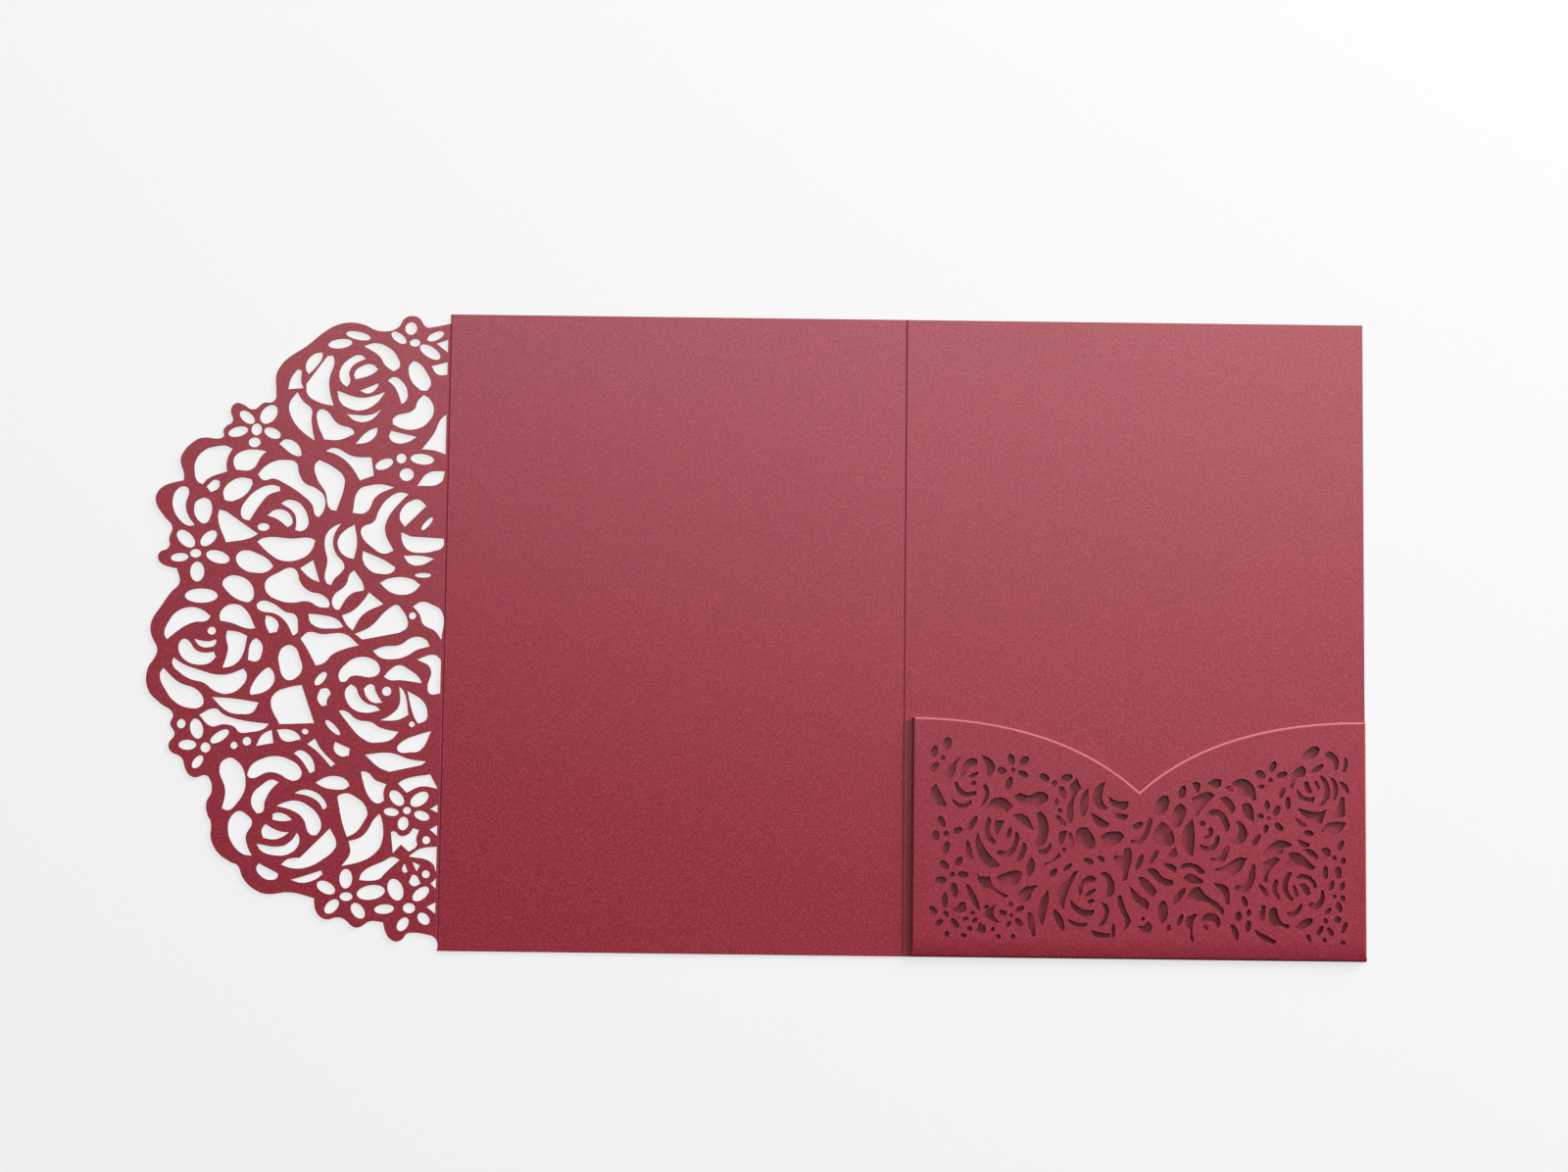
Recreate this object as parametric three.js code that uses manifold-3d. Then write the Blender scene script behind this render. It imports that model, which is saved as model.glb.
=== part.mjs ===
// Wedding invitation card folded from one sheet of pearl board: a laser-cut flap on the left, a
// plain middle panel, and a right panel whose foot is folded up and glued into a laced pocket.
// The card lies open, inside face up. Millimetres, +Z up, origin under the middle of its outline.
import * as THREE from 'three';
import { mergeVertices } from 'three/addons/utils/BufferGeometryUtils.js';
import Module from 'manifold-3d';

// Sheet
const PANEL_WIDTH = 130;
const PANEL_HEIGHT = 180;
const FLAP_REACH = 83.5; // from the left fold to the tip of the lace
const BOARD = 0.35; // thickness of the board

// Scored folds
const SCORE_WIDTH = 0.7;
const SCORE_DEPTH = 0.12;

// Pocket
const POCKET_HEIGHT = 67; // foot of the card to the shoulders of the pocket
const POCKET_INSET = 2.6; // from the middle fold to the pocket's left side
const POCKET_GAP = 0.9; // between the panel and the pocket's front
const NOTCH_DEPTH = 20.3; // from the shoulders down to the point of the V
const NOTCH_SLOPE = 0.9; // steepness of the two arcs where they meet in the V
const TAB_WIDTH = 12; // glued tabs behind the pocket's sides
const FOOT_LAP = 0.6; // flat board past each end of the folded foot, joined into panel and front
const FOLD_SEGMENTS = 4; // facets round each half-round fold
const ARC_SEGMENTS = 12; // facets along each arc of the pocket's top edge

// Size of the fields that the two laces were drawn on, in the same millimetres as their numbers
const FLAP_DRAWN = [83.5, 180];
const POCKET_DRAWN = [130, 67];
const SMALL_OVAL = 3; // an oval shorter than this has fewer corners
const SMALL_OVAL_CORNERS = 4;
const OVAL_CORNERS = 6;
const LACE_TOLERANCE = 0.34; // a corner nearer than this to the line past it is left out
const FEWEST_CORNERS = 4; // an opening isn't thinned past this

// Edge of the flap, from the top of the fold round to its foot; x runs left from the fold
const FLAP_EDGE = [
  0, 177.3, -2.5, 177.1, -5, 176.3, -6.8, 176.2, -7.8, 177.3, -9.2, 178.9, -11.2, 179.4,
  -13.2, 178.7, -14.4, 177, -15, 176, -17, 175.3, -20, 174.9, -22.5, 175.6, -25, 176.8,
  -28.5, 177.3, -32, 176.7, -35, 175.2, -38, 172.7, -41, 170.3, -44, 168.5, -46.5, 166.5,
  -48.2, 164.5, -49.3, 162, -49.5, 159.5, -49.2, 157, -49.3, 155.2, -50.5, 154.1, -52.5, 154,
  -54.2, 152.9, -55.5, 152, -57, 152.4, -59, 153.6, -60.3, 153.8, -61.6, 152.9, -61.9, 151,
  -61.3, 149.2, -61.6, 148.1, -63, 147.3, -63.9, 146, -63.8, 144.3, -64.5, 143.7, -67, 143.8,
  -70, 143.7, -72, 142.8, -74, 141, -75.4, 139, -75.8, 137, -75.2, 134.8, -74.7, 133,
  -74.8, 131.5, -76, 131, -78.5, 130.6, -80.8, 129.5, -82.2, 127.8, -82.5, 125.5, -81.5, 123.2,
  -80, 121.2, -78.8, 119.5, -77.6, 118.2, -77.8, 116.5, -78.4, 115, -78.2, 113, -79, 111.9,
  -80.7, 111.2, -81.4, 109.8, -80.8, 108.2, -79.2, 107.2, -77.5, 106.7, -76, 106.5, -75.2, 104,
  -75.1, 102.3, -76.2, 101.3, -77.3, 99.8, -78.5, 97.5, -80, 95.8, -81.5, 93.8, -82.6, 91.5,
  -82.9, 89, -82.3, 86.8, -81.2, 85.2, -80.8, 83.5, -81.2, 81.7, -82.6, 79.8, -83.4, 77.8,
  -83.5, 75, -83, 72, -81.8, 70.5, -79.5, 68.3, -77, 66.3, -75.8, 65.3, -76.2, 64, -76.5, 62.5,
  -75.8, 60.8, -75.2, 59.7, -76.2, 58.5, -76.8, 56.8, -76.3, 55, -74.7, 53.7, -73, 53,
  -72.3, 52, -71.9, 50, -71, 48.5, -69.3, 47.6, -67.5, 47.9, -66, 48.2, -65, 47.3, -64.6, 45.5,
  -64.3, 43.8, -65, 42, -65.7, 40.5, -65.8, 38.8, -65.2, 37, -64.3, 35.3, -64.2, 33,
  -64.1, 30.5, -63.4, 28.5, -62.2, 26.8, -60.5, 25.3, -58.3, 24, -56.5, 23.2, -55.7, 21.8,
  -55, 20, -53.5, 18, -51, 16.2, -48.5, 15.3, -45, 15.4, -41.5, 15.8, -37, 14.8, -34.8, 14.3,
  -34.5, 12.5, -34.2, 10.8, -33, 9.2, -31.2, 8.4, -29.5, 8.7, -28, 9, -26.3, 8.6, -25, 7.5,
  -23.5, 6.4, -22, 6.3, -20.5, 7.3, -19, 8, -17, 8, -15.3, 7.8, -14.6, 6.5, -14.4, 4.8,
  -13.2, 3.2, -11.3, 2.5, -9.7, 3.2, -8.7, 4.6, -7, 5, -5, 4.7, -3, 4.5, -1.2, 4, 0, 2.5,
];

// Lace of the flap, motif by motif. An oval is [x, y, x, y, width] from tip to tip, and a cell is
// the corners of one opening between the stems and petals.
const FLAP_LACE = {
  flowers: {
    ovals: [
      [-11.6, 171.7, -8.6, 171.7, 2.2], [-11.3, 177.6, -11.3, 174, 3.4],
      [-16.8, 174.6, -12.7, 171.6, 2.4], [-6.6, 172.6, -2, 174.7, 2.3],
      [-8.6, 170.9, -2.9, 167.3, 3], [-54.5, 148, -54.5, 144.6, 3],
      [-53, 148.3, -49.3, 153, 4.2], [-59.3, 151.3, -55.3, 148.2, 2.8],
      [-62.5, 144.9, -57, 146.3, 2.8], [-52.3, 146.3, -47.7, 144.3, 2.8],
      [-55, 144, -55, 141.2, 3.4], [-72.4, 110.8, -69.2, 110.8, 2.4],
      [-76, 117, -71.3, 112.8, 3.6], [-69.3, 113.2, -65.2, 117, 3.3],
      [-67.8, 110.8, -61.2, 108.9, 3.4], [-77.8, 109.4, -72.8, 109.8, 2.4],
      [-70.3, 108.4, -70.1, 102.8, 4], [-14.6, 138.5, -11.8, 138.5, 2.8],
      [-20.5, 135.8, -15.6, 137.8, 2.8], [-10.6, 138.7, -4, 138, 3],
      [-13.6, 134, -9.6, 133.8, 3.6], [-67.8, 56, -65, 56, 2.8], [-74, 56.7, -69, 56.7, 2.8],
      [-69.8, 50.3, -67.2, 53.6, 2.4], [-69.8, 64, -68.3, 58.5, 3.6],
      [-65, 57.5, -60, 60.8, 2.6], [-74.6, 62.6, -72.2, 62.6, 2.6],
      [-59.4, 56.7, -57.4, 56.7, 2], [-56, 57.9, -53.6, 57.9, 2.4],
      [-10.4, 39.1, -8.2, 38.9, 2], [-14, 44.3, -10.5, 40.6, 3.2],
      [-8.2, 40.6, -3.5, 43.8, 3.4], [-15.8, 38.8, -11.6, 38.3, 2.2],
      [-7.2, 38.3, -3, 36.9, 2.5], [-10, 37.2, -10.6, 33.5, 3],
      [-27.6, 14.8, -24, 14.8, 2.4], [-26, 22.5, -26, 17.1, 3.6],
      [-22.8, 15.4, -15, 16.7, 4], [-34, 18.5, -29, 16, 3.2], [-31.5, 10.3, -28, 13.7, 3],
      [-24, 12.8, -20.8, 9, 3.2], [-9.8, 11.8, -6.4, 11.8, 2.8],
      [-13.2, 19.8, -10.8, 14, 4.2], [-7, 14.1, -2.8, 17.5, 3], [-17.8, 11.2, -12.3, 11.7, 2.6],
      [-11, 5.6, -8.5, 9, 2.8], [-5.4, 10.2, -2.5, 7.6, 2.8],
    ],
    cells: [
      [-4, 171.6, -0.7, 172.7, -0.7, 169], [-5.3, 165.1, -0.7, 166.3, -0.7, 162.6, -3.5, 162.7],
      [-8.6, 130.7, -5.5, 134.5, -0.8, 135, -1.8, 131.8, -5, 131.2],
      [-2.8, 39.5, -0.7, 40.8, -0.7, 38.5], [-2.8, 33.8, -0.7, 35, -0.7, 32],
      [-3.2, 12.2, -0.7, 13.5, -0.7, 10.3], [-2.2, 18.7, -0.7, 20.2, -0.7, 17.2],
    ],
  },
  topRose: {
    ovals: [[-34.8, 170.8, -28, 171.6, 2.7], [-29.8, 174.3, -22.8, 172.8, 2.3]],
    cells: [
      [-24.7, 170.6, -21.5, 171.5, -17.5, 170.2, -15, 167.5, -14.3, 164.8, -16, 163.4,
        -18.3, 165, -20.2, 167.8, -22.5, 169.3],
      [-40.2, 162.3, -41.1, 164.5, -39, 168, -36.5, 168.7, -36.3, 167.5, -38.5, 163.9],
      [-45.9, 157.9, -45.2, 161, -43.4, 163.7, -42.1, 163.3, -42.2, 160, -41.5, 158.3],
      [-33.5, 167.8, -35, 167.6, -38.5, 163, -40.8, 159.5, -40.3, 156.5, -37, 154.3,
        -32.8, 153.3, -33.9, 157, -34.2, 161, -32.9, 166.3],
      [-43.3, 157.2, -45.5, 153.5, -44.5, 149.5, -42, 146.3, -38, 143.3, -39, 149,
        -39, 152.2, -41.5, 154.5],
      [-37.2, 151.8, -37.5, 149.5, -36.5, 146.5, -35.3, 143.7, -31, 143.6, -26.8, 145.3,
        -27, 146.3, -31.5, 148.2, -34, 150.2, -35.8, 152.3],
      [-24, 166.9, -25.5, 168, -28.8, 166.8, -31.3, 163.5, -31, 160.5, -29.2, 158.8,
        -28.3, 160.2, -28.6, 163, -27.3, 165.2],
      [-26.8, 161, -27.2, 162.7, -25, 164.9, -22, 165.3, -20.4, 163.8, -22.5, 162.3, -25, 161.5],
      [-25.5, 157.8, -23, 157, -20.5, 158.8, -20.2, 160, -22.5, 158.9],
      [-31.9, 157.7, -31, 154.5, -28.3, 152.6, -24.5, 152.2, -20.5, 154.4, -18.2, 157.6,
        -21, 156.5, -25.5, 155.8, -29.5, 157],
      [-29, 151, -26.5, 149.1, -22.5, 149.2, -19, 152.7, -22, 151, -26, 150.8],
      [-26.4, 142.5, -23, 143, -20.6, 145, -20.2, 147.3, -22.8, 146.3],
      [-17.6, 160.8, -16, 161.8, -13.5, 160.5, -11.9, 157.5, -12.3, 155, -13.5, 154,
        -14.5, 156.3, -15.5, 158.8],
      [-10.5, 166.5, -11.8, 164.5, -10, 161, -8.3, 158.2, -6.3, 158, -5.3, 160, -6.5, 163,
        -8.8, 165.8],
      [-7.3, 156.8, -8.8, 155.3, -10, 152.5, -13, 150.9, -15.8, 150, -15.9, 148.3, -13, 147,
        -9, 147, -5.8, 149, -4.3, 152.5, -5.5, 155.5],
      [-16.4, 146.4, -16.8, 144.5, -14.8, 142.9, -11.5, 143.2, -9, 144.7, -11.5, 145.4,
        -14, 145.9],
      [-0.7, 151.3, -2.2, 150, -4, 146, -7.5, 141.2, -4, 140.9, -0.7, 139.8],
      [-34.8, 140.4, -32.5, 141.3, -27.1, 139, -21.7, 138.7, -20.9, 133.5, -24.8, 132.1,
        -27.8, 136.5, -31.3, 139.2],
      [-36.5, 137.8, -37.7, 136.5, -37, 132.5, -34.5, 128.5, -33.2, 124, -31.3, 123.3,
        -30.6, 125.5, -29.2, 130.5, -29.3, 132.8, -32, 135.5],
      [-48, 142.3, -46.5, 143.5, -43.5, 142.8, -41.8, 140.5, -41.6, 138.9, -43.2, 138.9,
        -45.5, 140.8],
    ],
  },
  upperLeftRose: {
    ovals: [[-53.5, 118.5, -50.1, 118.5, 2.2]],
    cells: [
      [-53.8, 133.5, -52.3, 135.4, -49.2, 137.3, -46.2, 137.7, -43, 136.9, -42.1, 133.8,
        -40.5, 131.2, -37.1, 129.6, -34.8, 127.3, -34.8, 123.5, -36.1, 121.5, -37.1, 121.9,
        -38.2, 125, -40.5, 127.3, -44, 129.6, -46.5, 131.2, -49.2, 132.3, -52.3, 131.9],
      [-63, 126, -63.5, 128.5, -61.5, 131.3, -58.5, 132.5, -55.5, 132, -55.3, 130.5,
        -58, 128, -60.5, 125.8],
      [-47.3, 128.8, -47.5, 130, -50, 130.5, -54, 129, -57, 126, -58.3, 123.5, -57.8, 121,
        -55.8, 120.3, -54.3, 122.3, -52.5, 125.5, -50.5, 127.7],
      [-50.8, 121.8, -49, 123.3, -46, 123.3, -44, 121.5, -43.7, 119.5, -45, 118.5,
        -46.5, 119.8, -48, 120.8],
      [-47, 125.3, -45.5, 126.2, -42.5, 125.8, -40.5, 124, -39.2, 121, -39.3, 118.8,
        -41, 117.5, -42.8, 117.7, -42.6, 120, -43.2, 122.5, -45.2, 124.3],
      [-61.2, 140.6, -63, 141.5, -66, 141.3, -69, 140.3, -71.5, 137.3, -71.8, 134,
        -70.8, 131.2, -69.3, 130.5, -68, 132, -65, 133.3, -62.5, 134.2, -62.8, 136, -62.3, 138.5],
      [-51.5, 140, -54, 140.5, -58, 140.2, -60.5, 138.5, -60.8, 136.5, -60, 134.7,
        -55.5, 134.9, -54.5, 136.5, -52.8, 138.8],
      [-68.3, 129.8, -66, 131.8, -64.5, 131.3, -64.8, 129.5, -67, 128.2],
      [-73.3, 129, -74.5, 129.8, -76.5, 129, -77.7, 126.5, -77.5, 123.5, -75.8, 120.5,
        -73, 118.6, -71.3, 118.8, -73.2, 121.5, -74, 124.5, -73.6, 127],
      [-70, 126.3, -71.5, 124.8, -70.8, 122, -69.8, 119.7, -68, 119.5, -67, 121,
        -66.6, 124.5, -67.8, 126.3],
      [-64.5, 123.3, -62.5, 122.8, -57.5, 119, -53.3, 116.5, -55.5, 115.3, -60, 114.2,
        -62.3, 114, -63.3, 117, -64.8, 121],
      [-53.5, 114.3, -52, 115.3, -48, 115, -43.5, 115.3, -38.5, 115.5, -37, 114.8,
        -38, 112, -40.5, 109.8, -46.3, 109, -50, 111],
      [-59.3, 109, -58.8, 111, -56.5, 111.8, -53.5, 111, -50, 109, -48.7, 107.3,
        -50.5, 105.8, -54, 105.5, -57, 106.3],
    ],
  },
  middleLeaves: {
    ovals: [[-7, 118.2, -4, 121.7, 1.5], [-8.6, 105.3, -4, 105.3, 1.3], [-10, 93.8, -8, 93.8, 2]],
    cells: [
      [-26.7, 122.8, -26, 125.5, -25, 129.5, -22, 130.7, -18.5, 131, -15, 130.2, -17, 129.3,
        -20, 127.7, -21.7, 125, -23, 122.9],
      [-10.9, 128.3, -13.5, 128.8, -17, 126.8, -19.3, 123.5, -20.5, 120.5, -24, 118.5,
        -24, 116.5, -20.9, 113.1, -17.5, 111.3, -14.8, 112.2, -16, 114.5, -17.3, 117.5,
        -17, 120.5, -14.5, 124.5, -12.5, 126.8],
      [-10, 126.5, -8, 126.8, -5.8, 125, -8, 122.8, -10.2, 120.6, -11.8, 119, -13.3, 121.5,
        -12.5, 124.5],
      [-12.8, 117.5, -12.3, 114.5, -10.5, 112.3, -7, 111.7, -3.5, 112.2, -0.8, 113.5,
        -0.7, 115.8, -3.5, 116, -10, 116.3],
      [-12, 110.8, -10, 108.5, -7, 108.2, -3.3, 110, -6.5, 110.8],
      [-18.5, 103, -16, 104.3, -12.5, 104.5, -9.5, 104.2, -7, 102.5, -9, 100.5, -12, 99.7,
        -15.5, 100.5],
      [-29.8, 119.8, -32, 118.8, -34, 116.5, -34.3, 113, -33.5, 109.5, -33.8, 106,
        -33.7, 103, -32.2, 102.2, -31.5, 103.8, -29.5, 105.8, -28.6, 107.5, -30, 109,
        -31.3, 111.5, -32, 114.5, -31.5, 117],
      [-26, 119.5, -28.5, 118, -30.5, 115.5, -30.5, 113, -28.5, 110.5, -26, 109.7,
        -25.8, 112, -25.2, 114, -25.4, 117],
      [-23.5, 112, -21.5, 111.3, -17.5, 109.5, -14.2, 107.5, -14.8, 106.2, -18.5, 105.6,
        -21, 106.3, -23.5, 109.5],
      [-41.2, 106.9, -37.5, 109.3, -36.5, 106.5, -35.5, 103, -38, 104],
      [-51, 102, -50.5, 103.5, -47.5, 105.5, -43.5, 107, -42, 106, -41, 103, -38.5, 100.5,
        -34.5, 99.3, -32.5, 97, -32.8, 95.8, -35.5, 96, -38.5, 97.5, -43.5, 97.1,
        -46.5, 97.6, -50.3, 99.8],
      [-25.8, 106.5, -27, 105.5, -28, 102.5, -31, 99.5, -31.8, 98.5, -31, 95.5, -29.8, 95.2,
        -28.5, 97, -26.5, 99.8, -23, 100.8, -23, 102, -24.5, 105],
      [-21.5, 100.3, -23, 98, -26, 95, -29, 93.7, -27.5, 91, -25.8, 89.4, -24.5, 91.5,
        -23, 94, -19.5, 96, -17.3, 97, -19, 98.5],
      [-13.5, 96.8, -15.5, 96, -18.5, 93, -21, 90.5, -25.2, 88.5, -23, 86.9, -18, 88,
        -12.5, 89, -10.5, 90.5, -10.3, 92, -12, 95.5],
      [-38.5, 94, -37.5, 91.2, -34, 90.7, -30.5, 90, -28.5, 90.4, -30, 92.3, -32.5, 93.3,
        -35.5, 93.8],
      [-40.5, 87, -38.5, 88.8, -34.5, 88.3, -30.5, 88.6, -28, 88.4, -25.8, 86.8, -24, 85.3,
        -28.5, 84, -31.5, 82.5, -33.5, 80.3, -36, 79.4, -36.8, 81, -38.5, 84],
      [-9, 96.5, -6.5, 97.8, -3.5, 97, -0.7, 95, -0.7, 87, -2.5, 89.5, -4.8, 91, -6, 91.5,
        -7, 94.2],
      [-20, 83.8, -17, 85, -12.5, 85.5, -8.5, 87.8, -5, 87, -4, 85.2, -7.5, 84.2, -10.5, 82.4,
        -14, 81.5, -18, 82],
      [-7.5, 81.5, -5.5, 82.3, -2.5, 82.8, -0.7, 81.5, -0.7, 72, -3.5, 71.8, -4.3, 73,
        -3.8, 76, -3.6, 79, -5.5, 80.5],
      [-16.7, 76.5, -15, 78.5, -12.5, 79.8, -9.5, 78.5, -6.5, 76, -6, 74.8, -9, 75.2,
        -12, 75.6, -15, 75.6],
    ],
  },
  rightRose: {
    ovals: [
      [-17.1, 72.4, -14.5, 72.4, 2.6], [-9.3, 63.2, -7.7, 63.2, 1.6],
      [-36, 74, -33, 77.5, 2.2], [-32.8, 64, -28.7, 60, 1.7],
    ],
    cells: [
      [-29, 75, -29.5, 77, -27.5, 80, -24.5, 81.8, -20.5, 81.6, -18.2, 79.8, -18, 77.7,
        -19.5, 76.5, -23, 76.6, -26, 76.5, -27.5, 75],
      [-26, 74.3, -27.5, 72.5, -27, 69.5, -25, 67.2, -21.5, 66.3, -17.5, 67, -18.5, 68,
        -21.5, 69, -23.5, 71, -24.5, 73.3],
      [-20.8, 74.3, -22.3, 73, -21.5, 70.8, -19.5, 69.2, -17, 69.2, -17.8, 70.5, -19, 72.5,
        -19.5, 74],
      [-12.3, 73.8, -11, 72.5, -9.8, 68, -9.5, 65.8, -12.5, 64.4, -17.5, 64.2, -14.5, 65.8,
        -12.2, 68.5, -12, 71.5],
      [-10, 72.6, -7, 71, -5.3, 69.5, -4.2, 66.5, -4.5, 64.5, -6.8, 63.4, -8, 65.5, -8.7, 68.5],
      [-29.2, 66.8, -27.5, 66.8, -23.8, 64.3, -19.8, 63.6, -17.5, 62.2, -12.2, 61, -14, 59,
        -17.5, 58, -21, 58.3, -24.5, 61.5, -27.5, 64.5],
      [-32.5, 73, -34.5, 72.8, -35.3, 70, -34, 68, -32.6, 68.3, -32.5, 70, -31.5, 71.5],
      [-30, 58, -30.3, 56, -28.3, 54, -26, 54.2, -25.8, 56.2, -28, 57.2],
      [-12.5, 56.5, -11.5, 58, -9, 59.5, -6, 60.5, -3, 61.3, -5, 57.5, -6, 55.9, -9, 55.3,
        -12, 55.5],
      [-21.5, 54.5, -18.5, 54.8, -14.5, 55.1, -12, 54.1, -8.5, 53.3, -4.2, 52.8, -5.5, 51.8,
        -9.5, 51, -14.5, 49.8, -17.5, 51, -20, 53],
      [-12, 46.5, -10.5, 47.6, -6.5, 48.2, -3, 49.2, -2.3, 47.5, -0.8, 45.2, -5.5, 45.8,
        -8, 44.8, -9.5, 44, -10.8, 45],
      [-44.5, 85, -46.5, 82.5, -46.3, 79.5, -45, 76, -43.5, 75.2, -41, 76.3, -39.8, 78.5,
        -40.5, 81.5, -42, 84.5],
    ],
  },
  leftRose: {
    ovals: [[-66.8, 88.9, -64.4, 88.9, 2.2], [-73.5, 98.8, -64.2, 98.8, 4]],
    cells: [
      [-78.2, 86.3, -79, 88, -77.8, 91.5, -75.5, 94.3, -72, 95.5, -68.5, 94.8, -66, 93,
        -67, 91.8, -70.5, 91.3, -73.5, 90, -76, 87.7],
      [-70.5, 86.5, -69, 84.7, -66.5, 84.2, -64.5, 85, -64.2, 86.5, -66.5, 85.9, -68.5, 86.5],
      [-73.5, 86.5, -74.7, 85.3, -74.5, 82.5, -72.5, 80.3, -69.5, 79.3, -66, 79.8,
        -64.2, 81.5, -64.8, 83, -67.5, 82.7, -70, 83.5, -72, 86],
      [-63.5, 93.5, -62, 95.8, -59, 96.5, -56.5, 95.3, -54.5, 92, -53.3, 89.8, -55, 89.6,
        -58, 90.8, -60.5, 91.3, -63.3, 91.8],
      [-61.3, 89, -58, 88.6, -55.5, 87.5, -56, 84.5, -57.3, 81, -60, 78.9, -62.3, 78.5,
        -61.5, 81, -60.9, 84, -61.5, 87],
      [-53, 87, -54.3, 86, -54.8, 82.8, -55.2, 80.8, -52.5, 80.5, -51.3, 82.5, -51.4, 85.5],
      [-76.2, 81.3, -76.5, 79.5, -74.5, 77.2, -71.5, 75.3, -67.5, 74.2, -64, 71.8,
        -60.5, 71.2, -57, 73, -55.3, 76.5, -56.3, 78.3, -58.5, 77.5, -62, 76.5, -66, 77.3,
        -70, 78.2, -73.5, 79.5],
      [-79, 78.3, -79.9, 76.5, -78, 71.8, -75.5, 68.8, -71.5, 67.1, -68, 67.5, -67.3, 69,
        -69, 72, -71.5, 73.2, -74.5, 74.3, -77, 76.8],
      [-65, 70.2, -62.5, 70, -58.5, 69.8, -55.5, 69.5, -51.8, 68.8, -53.5, 66, -56.5, 65.5,
        -60.5, 66.2, -63, 68],
      [-49, 78.8, -47.7, 77, -47.7, 74.5, -50, 72, -54, 70.9, -54.4, 71.8, -52, 75.5,
        -50.3, 78.3],
      [-63, 102.5, -61.5, 104.3, -58.5, 104.5, -55.3, 102.8, -54, 99.8, -54.7, 97.5,
        -56.5, 97.2, -59, 99, -62.5, 101.2],
      [-53.2, 96.5, -52, 97.5, -48.5, 96.8, -45, 94.5, -42, 93.5, -41.3, 90.5, -41.5, 88.5,
        -42.7, 87.8, -43.7, 89.5, -44.7, 91.5, -47.5, 93.8, -50, 94.7, -52.7, 95.2],
      [-50.5, 93.4, -48.5, 92.9, -46.8, 91, -47.2, 88.8, -49.3, 88.4, -50.5, 91],
      [-48.4, 69, -47.3, 71.5, -43.5, 73.2, -39.8, 73.9, -38, 69, -36, 63.2, -40, 62.8,
        -45.8, 62.8, -46.5, 65],
      [-68.5, 65.2, -66, 66.3, -64, 67, -61.5, 65.3, -57.5, 64, -52.5, 63.5, -48.7, 62.8,
        -50, 61.5, -54.5, 60.4, -57, 60.4, -58.5, 61.9, -61.5, 62.6, -65, 62, -66.5, 63.8],
      [-50.5, 59.8, -47.9, 61.2, -47.3, 57.5, -52.2, 56.6],
      [-46.5, 61.2, -43, 61.3, -40.4, 60, -39.6, 58.6, -44.5, 58.2, -45.5, 59.5],
    ],
  },
  footRose: {
    ovals: [
      [-39.4, 61.1, -37.6, 60.5, 1.5], [-4.8, 30.8, -2.6, 30.8, 2.2],
      [-4.7, 21.3, -2.5, 21.3, 2.2],
    ],
    cells: [
      [-62.3, 50.5, -60.8, 52.8, -58.2, 52.9, -57, 50.5, -54.8, 46.3, -56.5, 43, -57.5, 40,
        -59.5, 38.5, -61.3, 39, -61.2, 41.5, -60.5, 44, -61.5, 47],
      [-54.5, 48.5, -53.5, 51, -50.5, 53, -46.5, 53.8, -42.5, 52.8, -39.8, 50.8, -39.2, 48.5,
        -41, 47, -43, 47.4, -45.5, 48.8, -48.5, 49.3, -51.5, 48.2, -53.6, 47.6],
      [-45.5, 46.5, -47.5, 47.2, -50.5, 45.5, -52.8, 43, -53, 40, -51.5, 37.7, -49.8, 38.2,
        -49.3, 41, -47.5, 44.5],
      [-56.5, 38.3, -58.8, 36.5, -59.4, 33, -58.3, 29.5, -55, 26.3, -52.5, 25.9, -53.8, 28.5,
        -54.3, 31.5, -53.8, 33.5, -52.7, 35.3, -54.5, 37.5],
      [-46, 39.9, -44, 40.8, -40.5, 41.4, -37, 40, -34, 37, -33.3, 34, -34.5, 31.8,
        -36.3, 32, -37.2, 34, -38.5, 36.5, -41, 38.4, -44, 39.4],
      [-41, 43.5, -39, 44.4, -35.5, 44, -32.5, 41.5, -31.8, 39.8, -32.8, 38.9, -34, 40.8,
        -36.5, 42.5, -39, 42.9],
      [-47, 37.6, -45.5, 38, -43, 37.3, -41.5, 36, -44, 35.6, -47, 36],
      [-49, 34.8, -50, 33, -49.5, 30.9, -46.5, 30.5, -44, 31.3, -42.3, 32.5, -45, 32.8,
        -47, 33.8],
      [-51.3, 29.2, -50, 27.3, -46.5, 26.1, -42.5, 26.4, -39.8, 28.5, -39.3, 31, -40, 32.5,
        -41.5, 30.3, -44, 28.7, -48, 29],
      [-44.3, 23.5, -41, 22.5, -36.5, 23, -32.5, 25.2, -29.5, 27.8, -28.9, 29.5, -29.8, 32,
        -30.8, 33.8, -33, 31.5, -35.5, 29, -39, 25.5, -42.5, 25],
      [-50.5, 23.8, -51.2, 22.5, -49.5, 20, -47.5, 19.2, -45.3, 19.8, -45, 21, -47.5, 22.5],
      [-41.5, 19.3, -38.5, 18.5, -34.5, 19.5, -32.5, 21, -33, 22, -36, 21.3, -39, 20],
      [-41.5, 54.7, -40, 55.5, -37.5, 54.5, -35.8, 52, -35.5, 49.8, -36.8, 49.1, -38.2, 50.8,
        -39.5, 53],
      [-37.8, 57.3, -35.7, 58.9, -34, 56, -31.5, 53.3, -29.8, 51.8, -31, 51, -33, 52.8,
        -35, 55.3],
      [-35.2, 46.5, -32.5, 48, -29.5, 48.4, -26.5, 47.3, -25.6, 45.8, -26.8, 44.9, -30, 44.7,
        -33, 45.3],
      [-22.5, 49.8, -20.5, 49.5, -18.5, 47.5, -15.3, 46.3, -16, 44, -15.8, 41.7, -17.5, 40.9,
        -19.5, 42, -21, 45, -22, 47.5],
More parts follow.
